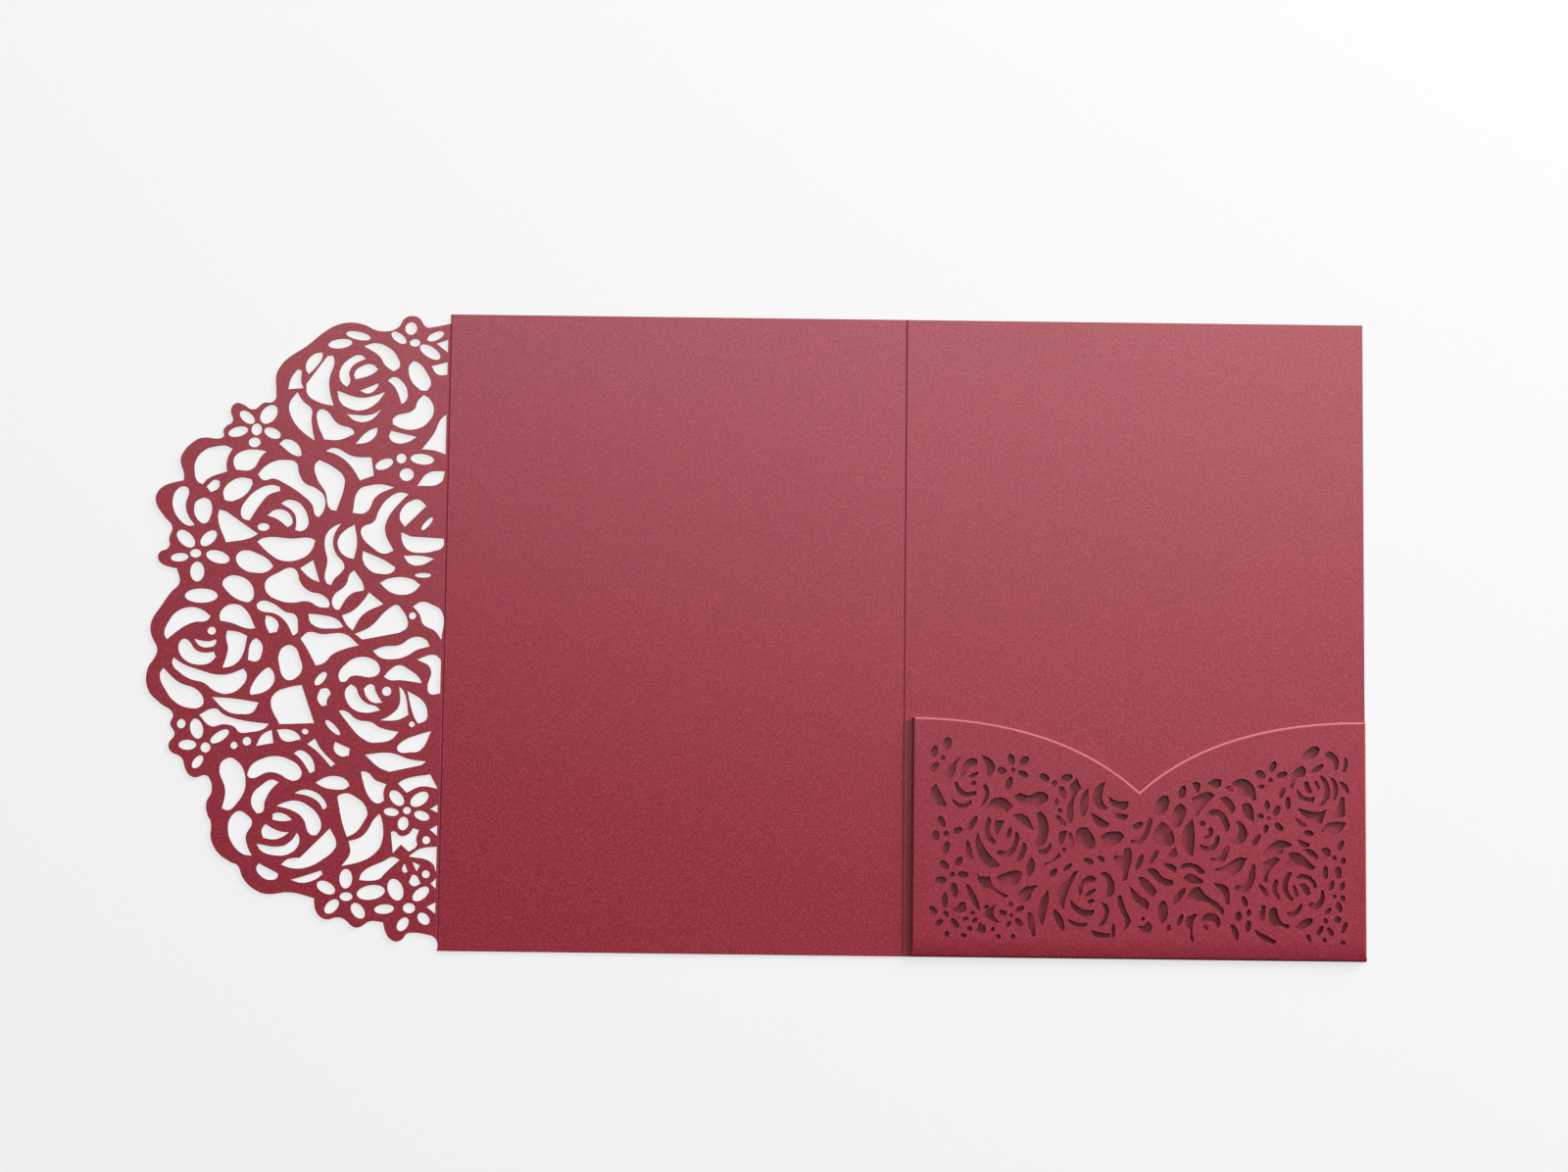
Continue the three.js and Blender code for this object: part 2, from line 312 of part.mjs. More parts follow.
      [-29, 42.8, -27, 43.6, -24.8, 43.2, -22.5, 40.5, -20.4, 38.5, -21.5, 35.5, -23.5, 32.8,
        -26, 31.4, -27.3, 35, -28, 39],
      [-27.3, 23.3, -25, 24, -21, 25, -18, 27, -16.3, 29.5, -16.5, 33, -16.3, 36.5, -17, 38,
        -18.5, 36.5, -20.5, 33, -22.5, 31.2, -25.5, 30.3, -25, 27],
      [-22.3, 19.5, -21.5, 21.5, -18.5, 22.8, -15.5, 24.8, -13, 26, -11, 25.2, -13, 23.5,
        -15, 21.5, -16.5, 19.9, -19.5, 19.3],
      [-13.7, 33, -12.5, 33.1, -11, 31.9, -8.8, 32.4, -7.5, 34.1, -5.8, 33.6, -6.5, 31,
        -6.3, 29.3, -8.5, 27.5, -9.8, 29, -10.8, 29.5, -12, 28, -13, 27, -13.5, 30],
      [-8.5, 26.2, -5.5, 28.3, -0.7, 29, -0.7, 21.8, -2, 24.5, -5.3, 25.6],
      [-7.5, 24.7, -5.3, 23.8, -6.2, 22],
      [-7.5, 21, -6.5, 21, -5, 18.7, -7, 17.9, -8.3, 19],
      [-10.3, 22.5, -9.6, 24.3, -8.7, 22, -9.6, 21.5],
    ],
  },
};

// Lace of the pocket; x runs right from the middle fold
const POCKET_LACE = {
  sprigs: {
    ovals: [
      [10.6, 55, 11.6, 56.2, 1.3], [11.9, 57.9, 12.7, 61.4, 2.4], [8.6, 55.9, 8.9, 59, 1.9],
      [9.8, 54.3, 7.8, 51.8, 1.8], [30.3, 52.1, 31.4, 52.9, 1.3], [29.9, 56.9, 30.7, 53.9, 1.9],
      [32.8, 54.2, 35.1, 56.1, 2], [26.3, 52.3, 29, 52.1, 2], [32.3, 52, 35, 50.7, 1.7],
      [30.2, 50.6, 29.2, 46.8, 1.8], [11.3, 34.5, 12.9, 34.5, 1.4], [10.1, 39.3, 11.7, 36.3, 1.7],
      [9.2, 35.3, 9.3, 32.5, 2], [14.2, 35, 16.8, 35.8, 1.8], [12.6, 32.3, 11.7, 28.8, 1.9],
      [20.7, 39.4, 18.5, 35.5, 1.5], [13.3, 23.1, 14.7, 23.1, 1.5], [10.6, 26.8, 12.9, 24.7, 1.9],
      [16.6, 28, 15, 25.6, 1.8], [9.2, 21, 12.3, 21.8, 2.1], [15.5, 23.2, 18.5, 23, 1.8],
      [14.2, 20.8, 15, 16.8, 1.9], [18, 20.5, 21.6, 13.2, 1.6], [11.9, 18, 11.9, 13.8, 1.7],
      [7.6, 14.1, 9.8, 12.3, 1.5], [11.6, 12.8, 13, 11.4, 1.4], [11.4, 10.5, 9.2, 8.7, 1.6],
      [13.7, 10.9, 15.8, 8.3, 1.5], [12.5, 7.4, 12.6, 5.7, 1.5], [19, 12.5, 20.3, 12.5, 1.2],
      [16.9, 10.6, 18.6, 11, 1.1], [19.6, 9.9, 21, 11, 1.2], [18.4, 8.8, 19.4, 7.6, 1.3],
      [16.5, 6.6, 18, 5.9, 1.3], [22.9, 13.8, 24.3, 14.5, 1], [27.1, 13, 29.2, 12.3, 1.5],
      [30.3, 15.8, 30.4, 14.3, 1.4], [30, 12.1, 31, 11.7, 1.1], [31.9, 13.2, 34.1, 14.4, 1.5],
      [31.7, 11, 33.6, 9, 1.7], [30.3, 10.3, 29.3, 8.7, 1.2], [24.9, 8.4, 25.8, 7.7, 1.2],
      [26.4, 6.5, 27.5, 5.6, 1.2], [30.6, 6.6, 31.5, 5.6, 1.2],
    ],
    cells: [
      [14, 13.6, 15.4, 14.2, 16.5, 15.5, 17.7, 15.3, 18, 13.4, 16.5, 12.5, 14.8, 12.6],
      [21.6, 10, 23.2, 8.8, 23.4, 7, 22, 6.9, 20.9, 7.6],
      [26.5, 15, 26.2, 13.8, 25.4, 12.6, 26.6, 11.2, 27.2, 10, 26.2, 9.9, 25, 11, 23, 11.8,
        23.2, 12.7, 24.8, 13.8],
    ],
  },
  cornerRose: {
    ovals: [[18.4, 50.2, 21.1, 51.6, 1.2], [19.1, 48.2, 20.5, 49, 1.2]],
    cells: [
      [16.7, 56.5, 14.9, 55.4, 12.8, 53.2, 11, 51, 12, 49.9, 13.5, 50, 14.6, 52, 15, 54.2],
      [20.7, 55.3, 19, 55.6, 17.4, 54.5, 16.2, 52.5, 16.1, 50.4, 17.2, 50.9, 18.6, 53,
        20.7, 54],
      [14.4, 48.9, 15, 46.4, 17, 44.9, 20.5, 45.2, 20.5, 46.5, 18, 46.1, 16, 47.3, 15.1, 49],
      [13.6, 44.3, 14.6, 42.6, 16.9, 41.4, 19.4, 43.2, 19, 43.9, 16.8, 42.7, 15, 43.8],
      [22.2, 47.8, 23.3, 48.4, 24.2, 46, 23.6, 43.8, 21.6, 41.9, 22.6, 44.2, 23, 46],
      [21.8, 56.6, 24.3, 55.5, 25.8, 53, 24.2, 50.2, 23.4, 51, 23.4, 53, 22.7, 54.8],
      [9.2, 48.3, 10.6, 45.8, 12.4, 42.2, 11, 42, 9.2, 43.5, 7.9, 44.5, 7.9, 47],
      [23.4, 41.5, 24.2, 43.3, 26, 44.6, 28.8, 44.3, 30.8, 42.3, 29.2, 40.6, 28, 41.5,
        25.5, 41.9],
      [31.2, 45, 32.5, 46, 35, 45.3, 38, 46.4, 40.2, 45.9, 40.7, 44.3, 39.5, 43.2, 36.3, 42,
        33.5, 42.8],
    ],
  },
  largeRose: {
    ovals: [[29.4, 33.4, 30.3, 36.4, 1.3]],
    cells: [
      [30.7, 39.9, 33.5, 40.2, 35.5, 38.6, 36.7, 35.5, 35.3, 36.1, 33.5, 37.6, 32, 39],
      [37.5, 40.5, 38.5, 41, 40, 39.5, 40.8, 37, 40.7, 34.5, 39.5, 31.8, 38, 31, 37.2, 31.8,
        37.8, 33.5, 38.1, 36, 38.1, 38.5],
      [25.8, 38.2, 28.5, 38.3, 27.8, 36.6, 26.6, 34.3, 25.8, 35.5],
      [23.9, 39.5, 24.7, 38.5, 24.3, 35.5, 26.3, 32.1, 25.2, 31.8, 23.3, 33.8, 23, 36.5],
      [21, 34.9, 21.8, 32.8, 23.5, 29.8, 27.3, 26, 26.4, 25.2, 24.2, 25.3, 22, 27, 20.9, 29.5,
        20.4, 32.5],
      [31.6, 35.3, 32.5, 34.5, 32.3, 31.8, 30.8, 29, 28.5, 28, 26.3, 28.9, 26.9, 29.9,
        28.8, 29.8, 30.6, 31.2, 31.2, 33],
      [33.7, 32.3, 34.7, 31.8, 34.6, 29.8, 33.2, 27.3, 31.8, 26.8, 33, 29, 33.4, 31],
      [18, 32.9, 18.9, 31.5, 19.9, 27.5, 18.9, 27.5, 17.7, 30.2],
      [41.4, 32.3, 41.7, 31.5, 40.8, 29.8, 39.4, 28.8, 38.2, 29.3, 38.1, 30.4, 39.5, 30.4,
        40.5, 31.2],
      [26.2, 22.3, 27.5, 23.2, 30.5, 23.8, 33, 24.2, 33.7, 23.5, 33, 21.8, 30.5, 20,
        27.5, 20.8],
      [20.8, 23.6, 21.7, 22.7, 24.4, 22.7, 25.2, 20.5, 27, 18.8, 29.7, 17.4, 28.8, 16.7,
        26.5, 17.8, 24.5, 19.2, 22.5, 19.8, 21.5, 21],
      [38, 20.4, 36.5, 20.4, 34, 19.6, 32.5, 18, 32.4, 16.7, 34.5, 15.9, 35.5, 16.2,
        36.2, 18.3],
      [36.2, 28.3, 37, 26.6, 36.6, 24, 35.6, 22.7, 34.7, 23.6, 35.4, 25.6, 35.6, 27.6],
      [43.8, 29.6, 44.4, 28.4, 43, 27.6, 41, 26.4, 39.6, 25.5, 39.6, 26.5, 41.6, 27.3,
        42.7, 28.5],
    ],
  },
  middleSpray: {
    ovals: [
      [38.3, 51.3, 40.9, 49.6, 2], [44.3, 50.2, 47.6, 50.7, 2], [42.2, 49.6, 42.9, 48.1, 1.6],
      [43, 44.6, 43.2, 42.7, 1.2], [43.6, 41.8, 44.4, 40.7, 1.3], [43, 39.9, 45.8, 37, 1.4],
      [44.6, 30.5, 45.9, 30.3, 1.3], [46.9, 35.2, 47.7, 31, 1.4], [64.4, 36.5, 67.2, 38.1, 1.7],
      [41.3, 23, 43.3, 24.9, 1.7], [47.4, 26.5, 45.1, 24.5, 1.2], [50.7, 27.8, 53.6, 26.6, 1.6],
      [54.7, 28.6, 56.5, 27.2, 1.5],
    ],
    cells: [
      [43.5, 47.8, 44.9, 48.1, 46, 46, 45.6, 44.4, 44.6, 45],
      [48.7, 50.3, 49.5, 49, 50.1, 47.6, 48.9, 46.3, 47.9, 43.8, 47.6, 41, 47.3, 38,
        46.4, 37.7, 46, 40, 46, 42.3, 47.2, 45.2, 46.6, 47.6, 47.8, 48.6],
      [52, 47.7, 50.8, 46.5, 49.6, 43.5, 49.6, 41.3, 50.5, 39.4, 51.6, 41, 52, 43.5],
      [56.8, 49.5, 55, 48.6, 53.3, 46.3, 53.1, 44.3, 54.5, 42.3, 56.8, 41.5, 57.4, 42.2,
        56.1, 43.9, 56, 46.5],
      [57.7, 45.4, 59.8, 44.2, 63.3, 44.1, 63, 42.6, 62, 41.6, 60, 42.1, 58.3, 43.4],
      [58.9, 41, 61, 40.7, 63.4, 40.2, 62.4, 38.7, 60.4, 39.2],
      [52.5, 41.1, 54.2, 40.1, 57.9, 37.8, 57.2, 36.8, 55.2, 36.8, 53.8, 38.1],
      [46.2, 35.6, 44.3, 35.4, 43.7, 34.2, 43.9, 31.9, 44.8, 31.9, 45.2, 33.7],
      [48.5, 35.3, 49.7, 36.5, 51.8, 36.6, 53.2, 34.5, 54, 32.2, 53.4, 31, 50.5, 30.8,
        48.9, 31.9],
      [55.3, 33.8, 56.5, 35, 59.5, 35.6, 61.4, 35.2, 62, 34, 60.8, 32.6, 58.5, 31.6, 56.2, 32],
      [69, 39.7, 69.9, 39, 69.6, 37, 68.4, 34.5, 66.8, 32.3, 64, 32.3, 63.8, 33.3, 66, 33.5,
        67.4, 35.2, 68.4, 37.8],
      [62.6, 31.1, 63.8, 31, 64.2, 29.8, 63.4, 27, 63.2, 24, 62.6, 22, 61.6, 21.8, 61.8, 24.5,
        60.4, 26, 59, 27.8, 59.4, 29, 61.4, 29],
    ],
  },
  footRoses: {
    ovals: [
      [51, 17.4, 54.1, 19.5, 1.2], [51.8, 15.7, 53.7, 16.4, 1.2], [59.1, 10, 59, 5.9, 1],
      [66.8, 11.4, 67.9, 11.4, 1.1], [84.1, 9.9, 85.6, 8.7, 1.2], [74.7, 9.9, 74.4, 8.1, 1.1],
      [78.4, 12.9, 77.1, 9.5, 1.3], [95.2, 18.1, 96.3, 15.1, 1.5], [94, 13.7, 94.1, 11.1, 1.8],
      [97.1, 14.3, 96.7, 12.5, 1.4], [97, 11.3, 96.6, 8.2, 1.5],
    ],
    cells: [
      [49.2, 24.4, 48.6, 23.2, 47.2, 20.6, 46.6, 18.4, 45.6, 16.2, 45.2, 13.7, 44.5, 14.6,
        44.2, 16.8, 43.6, 19.2, 45.2, 20.8, 46.8, 22.6, 48.2, 24.3],
      [49.4, 17.7, 49.2, 20, 50.6, 22.2, 52.6, 23.2, 54.3, 22.5, 53.4, 21.5, 51.8, 21.4,
        50.6, 20, 50.1, 18.1],
      [55.2, 24, 57, 24.2, 58.8, 22.4, 59.4, 20, 58.4, 17.5, 57, 17.3, 57.1, 18.8, 57.5, 20.6,
        56.8, 22.6],
      [46.9, 16.7, 47.8, 16.2, 49.2, 14.5, 51.4, 13.7, 53.7, 13.8, 53.4, 12.6, 51.6, 11.8,
        49.2, 12.6, 47.5, 14.2],
      [55.6, 15.9, 57.2, 15.2, 57.9, 13.2, 57.2, 11, 55.6, 9.2, 54.6, 9.4, 56, 11,
        56.6, 13.2, 56.4, 14.6],
      [46.2, 11.2, 47.6, 10.8, 49.5, 10.1, 52, 10.1, 51, 9, 48.8, 9, 47.2, 9.6],
      [52.8, 8.2, 54.2, 8, 56, 7.4, 58.2, 7.2, 58, 6.1, 55.5, 6, 53.5, 6.6],
      [60.1, 17.6, 61.2, 18, 61.7, 15.8, 62.8, 13.2, 63.9, 11, 63.2, 9.2, 62, 8.1,
        62.4, 10.2, 61.3, 12.4, 60.4, 15.2],
      [40.7, 19.3, 41, 17, 40.4, 14.2, 39.7, 11, 39.3, 9.2, 38.5, 10.2, 38.3, 12.6,
        38.4, 15.2, 39.4, 17.4],
      [42.1, 14, 43.2, 13.4, 44.5, 11.2, 45.4, 8.6, 44.8, 7.5, 43.8, 9, 42.8, 10.8],
      [35.1, 12.9, 36.2, 12.6, 36.7, 9.6, 37.3, 6.2, 36.4, 6, 35.7, 8.2, 35, 10.6],
      [63.5, 20.7, 64.6, 20, 66.2, 18, 68.9, 16, 68.8, 13.8, 68, 13.9, 66.4, 15.3, 65, 16.5,
        64, 18.4],
      [65.7, 9.4, 67.4, 9.5, 68.8, 10.7, 69.9, 9.4, 69.3, 7.7, 67.5, 7.6],
      [73, 16.7, 73.9, 15.8, 74.3, 13.4, 74, 11.6, 72.8, 10.1, 71.8, 11.5, 71.6, 14,
        72.1, 15.8],
      [81.4, 20.1, 83.3, 20.4, 84.4, 18.7, 87, 17, 89.4, 15, 90, 13.6, 89.8, 12.7, 88, 14.4,
        86, 15.8, 83.5, 16.6, 80.5, 16.5, 79.2, 16.8, 80, 18.6],
      [82.6, 13, 80.8, 12.6, 79.4, 11.4, 79.4, 9.6, 80.6, 8.4, 80.7, 5.6, 81.6, 5.2,
        81.5, 7.6, 81.2, 10, 81.8, 11.6],
      [83.3, 10.8, 84.4, 12.6, 86.2, 13.3, 88.2, 12.5, 89, 10.5, 88.3, 9, 87.5, 9.6,
        87.2, 10.6, 85, 10.8],
      [91.6, 10, 92.6, 10.2, 94, 8.2, 94, 5.8, 93.4, 5.9, 92.9, 7.8],
      [98.3, 9, 99.8, 8.2, 102, 7, 104.7, 5.6, 104, 4.7, 102.2, 5.3, 99.6, 6.9],
    ],
  },
  centreRose: {
    ovals: [
      [78.9, 48.6, 77.8, 45, 2], [90.7, 48.5, 92.6, 47.3, 1.4], [83.2, 38.3, 84.8, 37.9, 1.6],
      [71.6, 30.7, 69.4, 26.8, 1.4], [67.3, 29.3, 65.4, 25, 1.5], [79.2, 20.1, 75.6, 15.6, 1.8],
      [100.2, 35.3, 98, 32, 1.5],
    ],
    cells: [
      [72.4, 45.5, 74.3, 45.7, 74.7, 43.8, 73.8, 41.5, 71.8, 40.3, 70.1, 41, 70.8, 42.8],
      [80.9, 49.3, 82.5, 49.7, 83.4, 48.9, 83, 46.9, 82.4, 46.8, 81.5, 48],
      [85.3, 49.3, 87.5, 50.6, 89.3, 50.4, 89.2, 48.5, 88, 48.1],
      [92.3, 49.4, 94, 50.6, 96.5, 50.4, 98.6, 48.2, 99.1, 45, 98.3, 44.7, 97.2, 45.8,
        95, 45.7, 94.2, 47.6],
      [81, 45.2, 83.5, 45.7, 86, 46.9, 87.4, 46, 85.5, 43.6, 83.2, 41.2, 82.4, 39.9,
        81.8, 42.6],
      [76.2, 42.4, 78, 43.7, 79.5, 42, 78.8, 39.4, 77.2, 37, 76.2, 37.1, 75.5, 39],
      [88.9, 45.2, 90.6, 45.7, 92.4, 44.3, 93.2, 42.6, 92.4, 40.8, 91.4, 41.9, 90.2, 43.5],
      [95, 43.6, 96.8, 44, 98.2, 42.2, 98.3, 38.7, 97.2, 39.3, 95.6, 40.8],
      [85.5, 41.2, 87, 42.1, 89.2, 41.8, 91, 39.6, 91.5, 36.6, 90.6, 35.8, 89.6, 38.3,
        88, 40.4, 86.5, 40.3],
      [86.3, 37.4, 87.1, 36, 86.2, 34.3, 84.5, 33.5, 84.5, 34.4, 85.7, 35.2, 85.6, 36.5],
      [88.6, 35.1, 88.8, 33.6, 87.6, 31.2, 85.6, 30.3, 83.8, 31, 83.2, 32.4, 84.2, 32.5,
        85.8, 31.8, 87.2, 32.6, 87.8, 34.4],
      [81.2, 39.4, 81.6, 37.5, 81.3, 34, 81.6, 31, 81.2, 29, 79.5, 30, 78.4, 32, 78.2, 34.5,
        79, 37, 80.3, 38.9],
      [93.3, 39.1, 94.8, 38.6, 96.4, 36.2, 96.3, 34, 94.8, 32.7, 92.6, 32.3, 91.8, 33,
        93.4, 34.4, 94.2, 36.6],
      [91.9, 31.8, 91.4, 29.8, 90.3, 27.7, 88.9, 27.6, 86.3, 27.6, 86.2, 28.5, 88.6, 28.9,
        89.8, 30, 90.8, 31.9],
      [72.4, 38.5, 73.4, 38.2, 74.6, 36, 76.2, 33.4, 75.8, 32.2, 74.6, 32.3, 72.5, 31.7,
        70.6, 32.3, 69.9, 34, 71.2, 36.8],
      [76.2, 31.5, 77.3, 29.6, 75.8, 28.5, 74.4, 29.2],
      [73, 26.9, 75, 26.8, 76.8, 25.9, 76.6, 24.1, 75.6, 24.6, 74.2, 25.6],
      [77.5, 25.7, 78.6, 26.8, 80.6, 27.1, 82.6, 26.5, 84.7, 24.6, 83.9, 24, 82.2, 25.1,
        80.4, 25.9, 78.6, 25.4],
      [68.3, 25, 70.2, 25.5, 71.4, 24.6, 73.2, 22.8, 75.6, 22, 75.8, 21.1, 74, 20.5,
        72, 21.5, 70.6, 23.2],
      [66, 22.9, 67.4, 23, 69, 21.4, 71.3, 19.2, 70.4, 17.7, 69.4, 18, 68, 19.6, 66.8, 21],
      [78.5, 22.9, 80.2, 24.1, 82.2, 23.5, 84.5, 21.8, 83.4, 21.3, 81.5, 21.8, 79.5, 22],
      [86.8, 21.7, 88.5, 21.3, 90.8, 20.6, 91.6, 18.6, 91.5, 15.5, 90.8, 15.6, 90, 18,
        88.4, 19.4],
      [87.1, 25.4, 89.5, 26, 92, 27.6, 94.5, 28.8, 96.3, 28.6, 95.4, 26.4, 93.8, 24.5,
        92, 23.7, 90.4, 25, 88, 24.9],
      [98.4, 27.3, 98.9, 26, 97.6, 22.8, 96.6, 19.4, 94.6, 19.1, 92.9, 20, 93.4, 20.9,
        95.6, 21.1, 96.6, 23.6, 97.6, 26],
    ],
  },
  edgeSprigs: {
    ovals: [
      [102.5, 50.4, 103.8, 50.4, 1.3], [104.5, 55.7, 103.1, 52.7, 1.8],
      [98.9, 52.6, 101.7, 51.4, 2.2], [104.8, 51.4, 107.8, 52.5, 1.7],
      [99.7, 48.3, 101.5, 48.9, 1.2], [107.1, 48.6, 105.7, 45.3, 1.3],
      [102, 39.8, 103.2, 39.7, 1.3], [102.1, 44.7, 102.2, 42.2, 1.5],
      [105.5, 43.3, 104.1, 40.4, 1.8], [99.5, 40.7, 101.2, 40, 1.4],
      [102.1, 38, 101.5, 35.7, 1.4], [104.3, 38.4, 106.5, 36.4, 1.8],
      [108, 45.8, 108, 42.3, 1.5], [112.4, 36.1, 115.2, 35.4, 1.6],
      [120.6, 29.5, 121.3, 28.3, 1.3], [123.6, 29.1, 123.2, 27.2, 1.5],
      [123.5, 33.8, 121.9, 31, 1.5], [118.4, 26.7, 118.5, 22.9, 1.5],
      [121.9, 26.6, 122.1, 23.2, 2], [120.6, 22.7, 119.7, 19.9, 1.3],
      [123.6, 22.2, 122.6, 19.9, 1.4], [120.4, 18.2, 121.5, 18.2, 1.2],
      [123, 18.6, 123.5, 16.9, 1.4], [121.8, 16.8, 122.6, 13.8, 1.6],
      [118.3, 13.4, 120, 15, 1.2], [118.2, 12.2, 118.6, 10.6, 1.3],
      [121, 11.2, 122.6, 12.4, 1.8], [124.3, 11.2, 122.9, 8, 1.4],
      [117.6, 10, 116, 7.4, 1.3], [119, 9.6, 120.5, 7.2, 1.4], [113.4, 7.6, 114, 5.5, 1.4],
      [117.9, 6.7, 118.3, 5.4, 1.2], [122.6, 5.6, 123.9, 5.2, 1.3],
      [114.5, 52.6, 118.1, 55, 1.4], [115.7, 50.5, 116.8, 48, 1],
    ],
    cells: [
      [112, 56.4, 112.2, 57.6, 113.8, 59.2, 115.8, 60.1, 117.1, 59.4, 116.2, 57.6, 114.2, 56.5],
      [118.2, 57.5, 119.6, 58.8, 121, 58, 122.3, 56.2, 121.8, 53.5, 121, 53.5, 120.8, 55.2,
        120, 56.4],
      [124.1, 57.3, 124.8, 56, 124.3, 53, 123.3, 52.8, 123.5, 55.2],
      [108.6, 48.3, 108.4, 50.5, 109.8, 53.2, 111.8, 54.7, 113, 53.6, 112.4, 51.6,
        110.8, 51.3, 109.8, 49.6, 109.4, 48.2],
      [112.5, 50.1, 113.6, 50.2, 113.9, 48.6, 114.8, 47.2, 113.8, 46.7, 112.8, 48.2],
      [116.9, 51.9, 118.2, 51.4, 119.6, 49, 119.8, 46.6, 118.6, 44.4, 116.7, 43, 117, 44.2,
        118, 46, 118.3, 48.2, 117.7, 50.2],
      [119.7, 51.5, 120.9, 51, 122.1, 48.6, 121.9, 46.6, 120.8, 44.7, 121, 47, 120.6, 49.4],
      [122.4, 50.3, 123.8, 50, 125.1, 48, 124.9, 46.7, 124, 47.5, 123, 49.1],
      [110.6, 48.2, 111.6, 47.4, 112.6, 46, 114.2, 45.8, 115.7, 45.9, 115.2, 44.3,
        113.4, 44.5, 111.6, 45.2, 110.6, 46.6],
      [110.6, 42.8, 112.2, 42.2, 114.8, 41.8, 117.4, 41.9, 118.9, 42.6, 118.4, 40.4,
        117.4, 38.4, 116.2, 38.5, 113.8, 39.7, 111.8, 41.1],
      [109.9, 40.3, 111.4, 39.7, 113.6, 38, 112.4, 37.5, 110.7, 38.5],
      [122.8, 46.1, 123.9, 45.8, 124.2, 43.4, 124, 40.6, 122.4, 40.1, 120.2, 40.4,
        120.8, 42, 122.2, 44],
      [119.2, 38.6, 121, 38.9, 123, 39, 124.3, 38.8, 123, 36.7, 120.8, 35.3, 118.6, 35.5,
        117.2, 36.4, 118.6, 37.6],
    ],
  },
  rightRose: {
    ovals: [[99.8, 21.4, 102.4, 18.1, 1.3], [109.5, 21.3, 110.6, 18, 1.1]],
    cells: [
      [110.7, 34.1, 112.4, 33.8, 114.1, 32.8, 113.8, 31.8, 111.8, 32.1],
      [112.3, 31.3, 114.4, 31.3, 116.7, 29.1, 116.2, 28.4, 114.6, 29.5, 113, 30.4],
      [109.2, 32.6, 108.2, 33.3, 106.2, 33.7, 103.8, 33, 102.2, 31.2, 100.4, 29.3,
        102.4, 29.9, 104.6, 29.9, 106.2, 30, 107, 31.7, 108.4, 31.8],
      [108, 29.9, 109.8, 30.5, 112.6, 28.7, 115.7, 26.2, 114.6, 25.5, 111.5, 26.8,
        107.4, 26.2, 107.1, 27.2, 108.6, 28.1],
      [105.8, 28.4, 104.4, 29, 102.4, 28.1, 100.8, 27.4, 101, 24.6, 101.2, 22.1, 102.2, 21.9,
        102.6, 24.4, 104, 26.4],
      [104.4, 22.9, 105.1, 22.4, 104.8, 20.2, 105.9, 17.4, 105.1, 17.1, 103.8, 19, 103.5, 21],
      [109.2, 24.7, 108, 24.9, 106.8, 23, 106.4, 20.6, 107.2, 18.4, 109, 16.7, 109.5, 17.3,
        108.2, 19.2, 107.9, 21.4, 108.4, 23.4],
      [110, 23.1, 111.4, 24.3, 113.4, 24.1, 115.2, 22.8, 116.1, 21, 115.2, 20.2, 114.6, 21.8,
        113.2, 22.8, 111.6, 23],
      [111.1, 21.5, 112.4, 22, 113.8, 20.6, 114.3, 19, 113.2, 18.2, 112.3, 19.6],
      [117.4, 20.3, 118, 19.4, 118, 16.8, 116.6, 14.9, 115, 14.5, 113.7, 15.4, 114.2, 16.4,
        116, 16.6, 116.8, 18.4],
      [111.7, 16.3, 111.9, 15.4, 111, 13.8, 109.6, 12.6, 108, 12.7, 107.5, 13.6, 109.4, 14,
        110.4, 15],
      [100.5, 15.5, 101.8, 15.5, 101.6, 13.6, 101.2, 11.1, 100.4, 11.5, 100.3, 13.6],
      [103.4, 14.9, 104.6, 14.9, 105.2, 13, 106.2, 10.9, 108.3, 10.2, 108, 9, 106.8, 9.1,
        105.4, 9.9, 103.2, 10.1, 102.4, 11.6, 102.6, 13.6],
      [114.9, 12, 114.6, 10.8, 113, 9.5, 111, 8.8, 109.9, 9.6, 111.6, 10.9, 113.2, 12],
      [117.2, 31.4, 118.8, 31.8, 120.1, 30.8, 119.6, 29.3, 118.6, 29.3, 118, 30.4],
    ],
  },
};

const wasm = await Module();
wasm.setup();

// A closed three.js geometry as a solid that can be cut and joined.
function solid(geometry) {
  geometry.deleteAttribute('normal');
  geometry.deleteAttribute('uv');
  const merged = mergeVertices(geometry);
  const vertProperties = new Float32Array(merged.attributes.position.array);
  const triVerts = new Uint32Array(merged.index.array);
  return new wasm.Manifold(new wasm.Mesh({ numProp: 3, vertProperties, triVerts }));
}

// Outlines on the plan, raised from one height to another.
function raised(shapes, low, high) {
  const depth = high - low;
  const geometry = new THREE.ExtrudeGeometry(shapes, {
    depth,
    bevelEnabled: false,
    curveSegments: ARC_SEGMENTS,
  });
  return solid(geometry.translate(0, 0, low));
}

// A profile drawn across the card, x by z, run up the card from one y to another.
function runUp(profile, low, high) {
  const geometry = new THREE.ExtrudeGeometry(new THREE.Shape(profile), {
    depth: high - low,
    bevelEnabled: false,
  });
  return solid(geometry.rotateX(Math.PI / 2).translate(0, high, 0));
}

// A profile drawn up the card, y by z, run across it from one x to another.
function runAcross(profile, left, right) {
  const geometry = new THREE.ExtrudeGeometry(new THREE.Shape(profile), {
    depth: right - left,
    bevelEnabled: false,
  });
  return solid(geometry.rotateX(Math.PI / 2).rotateZ(Math.PI / 2).translate(left, 0, 0));
}

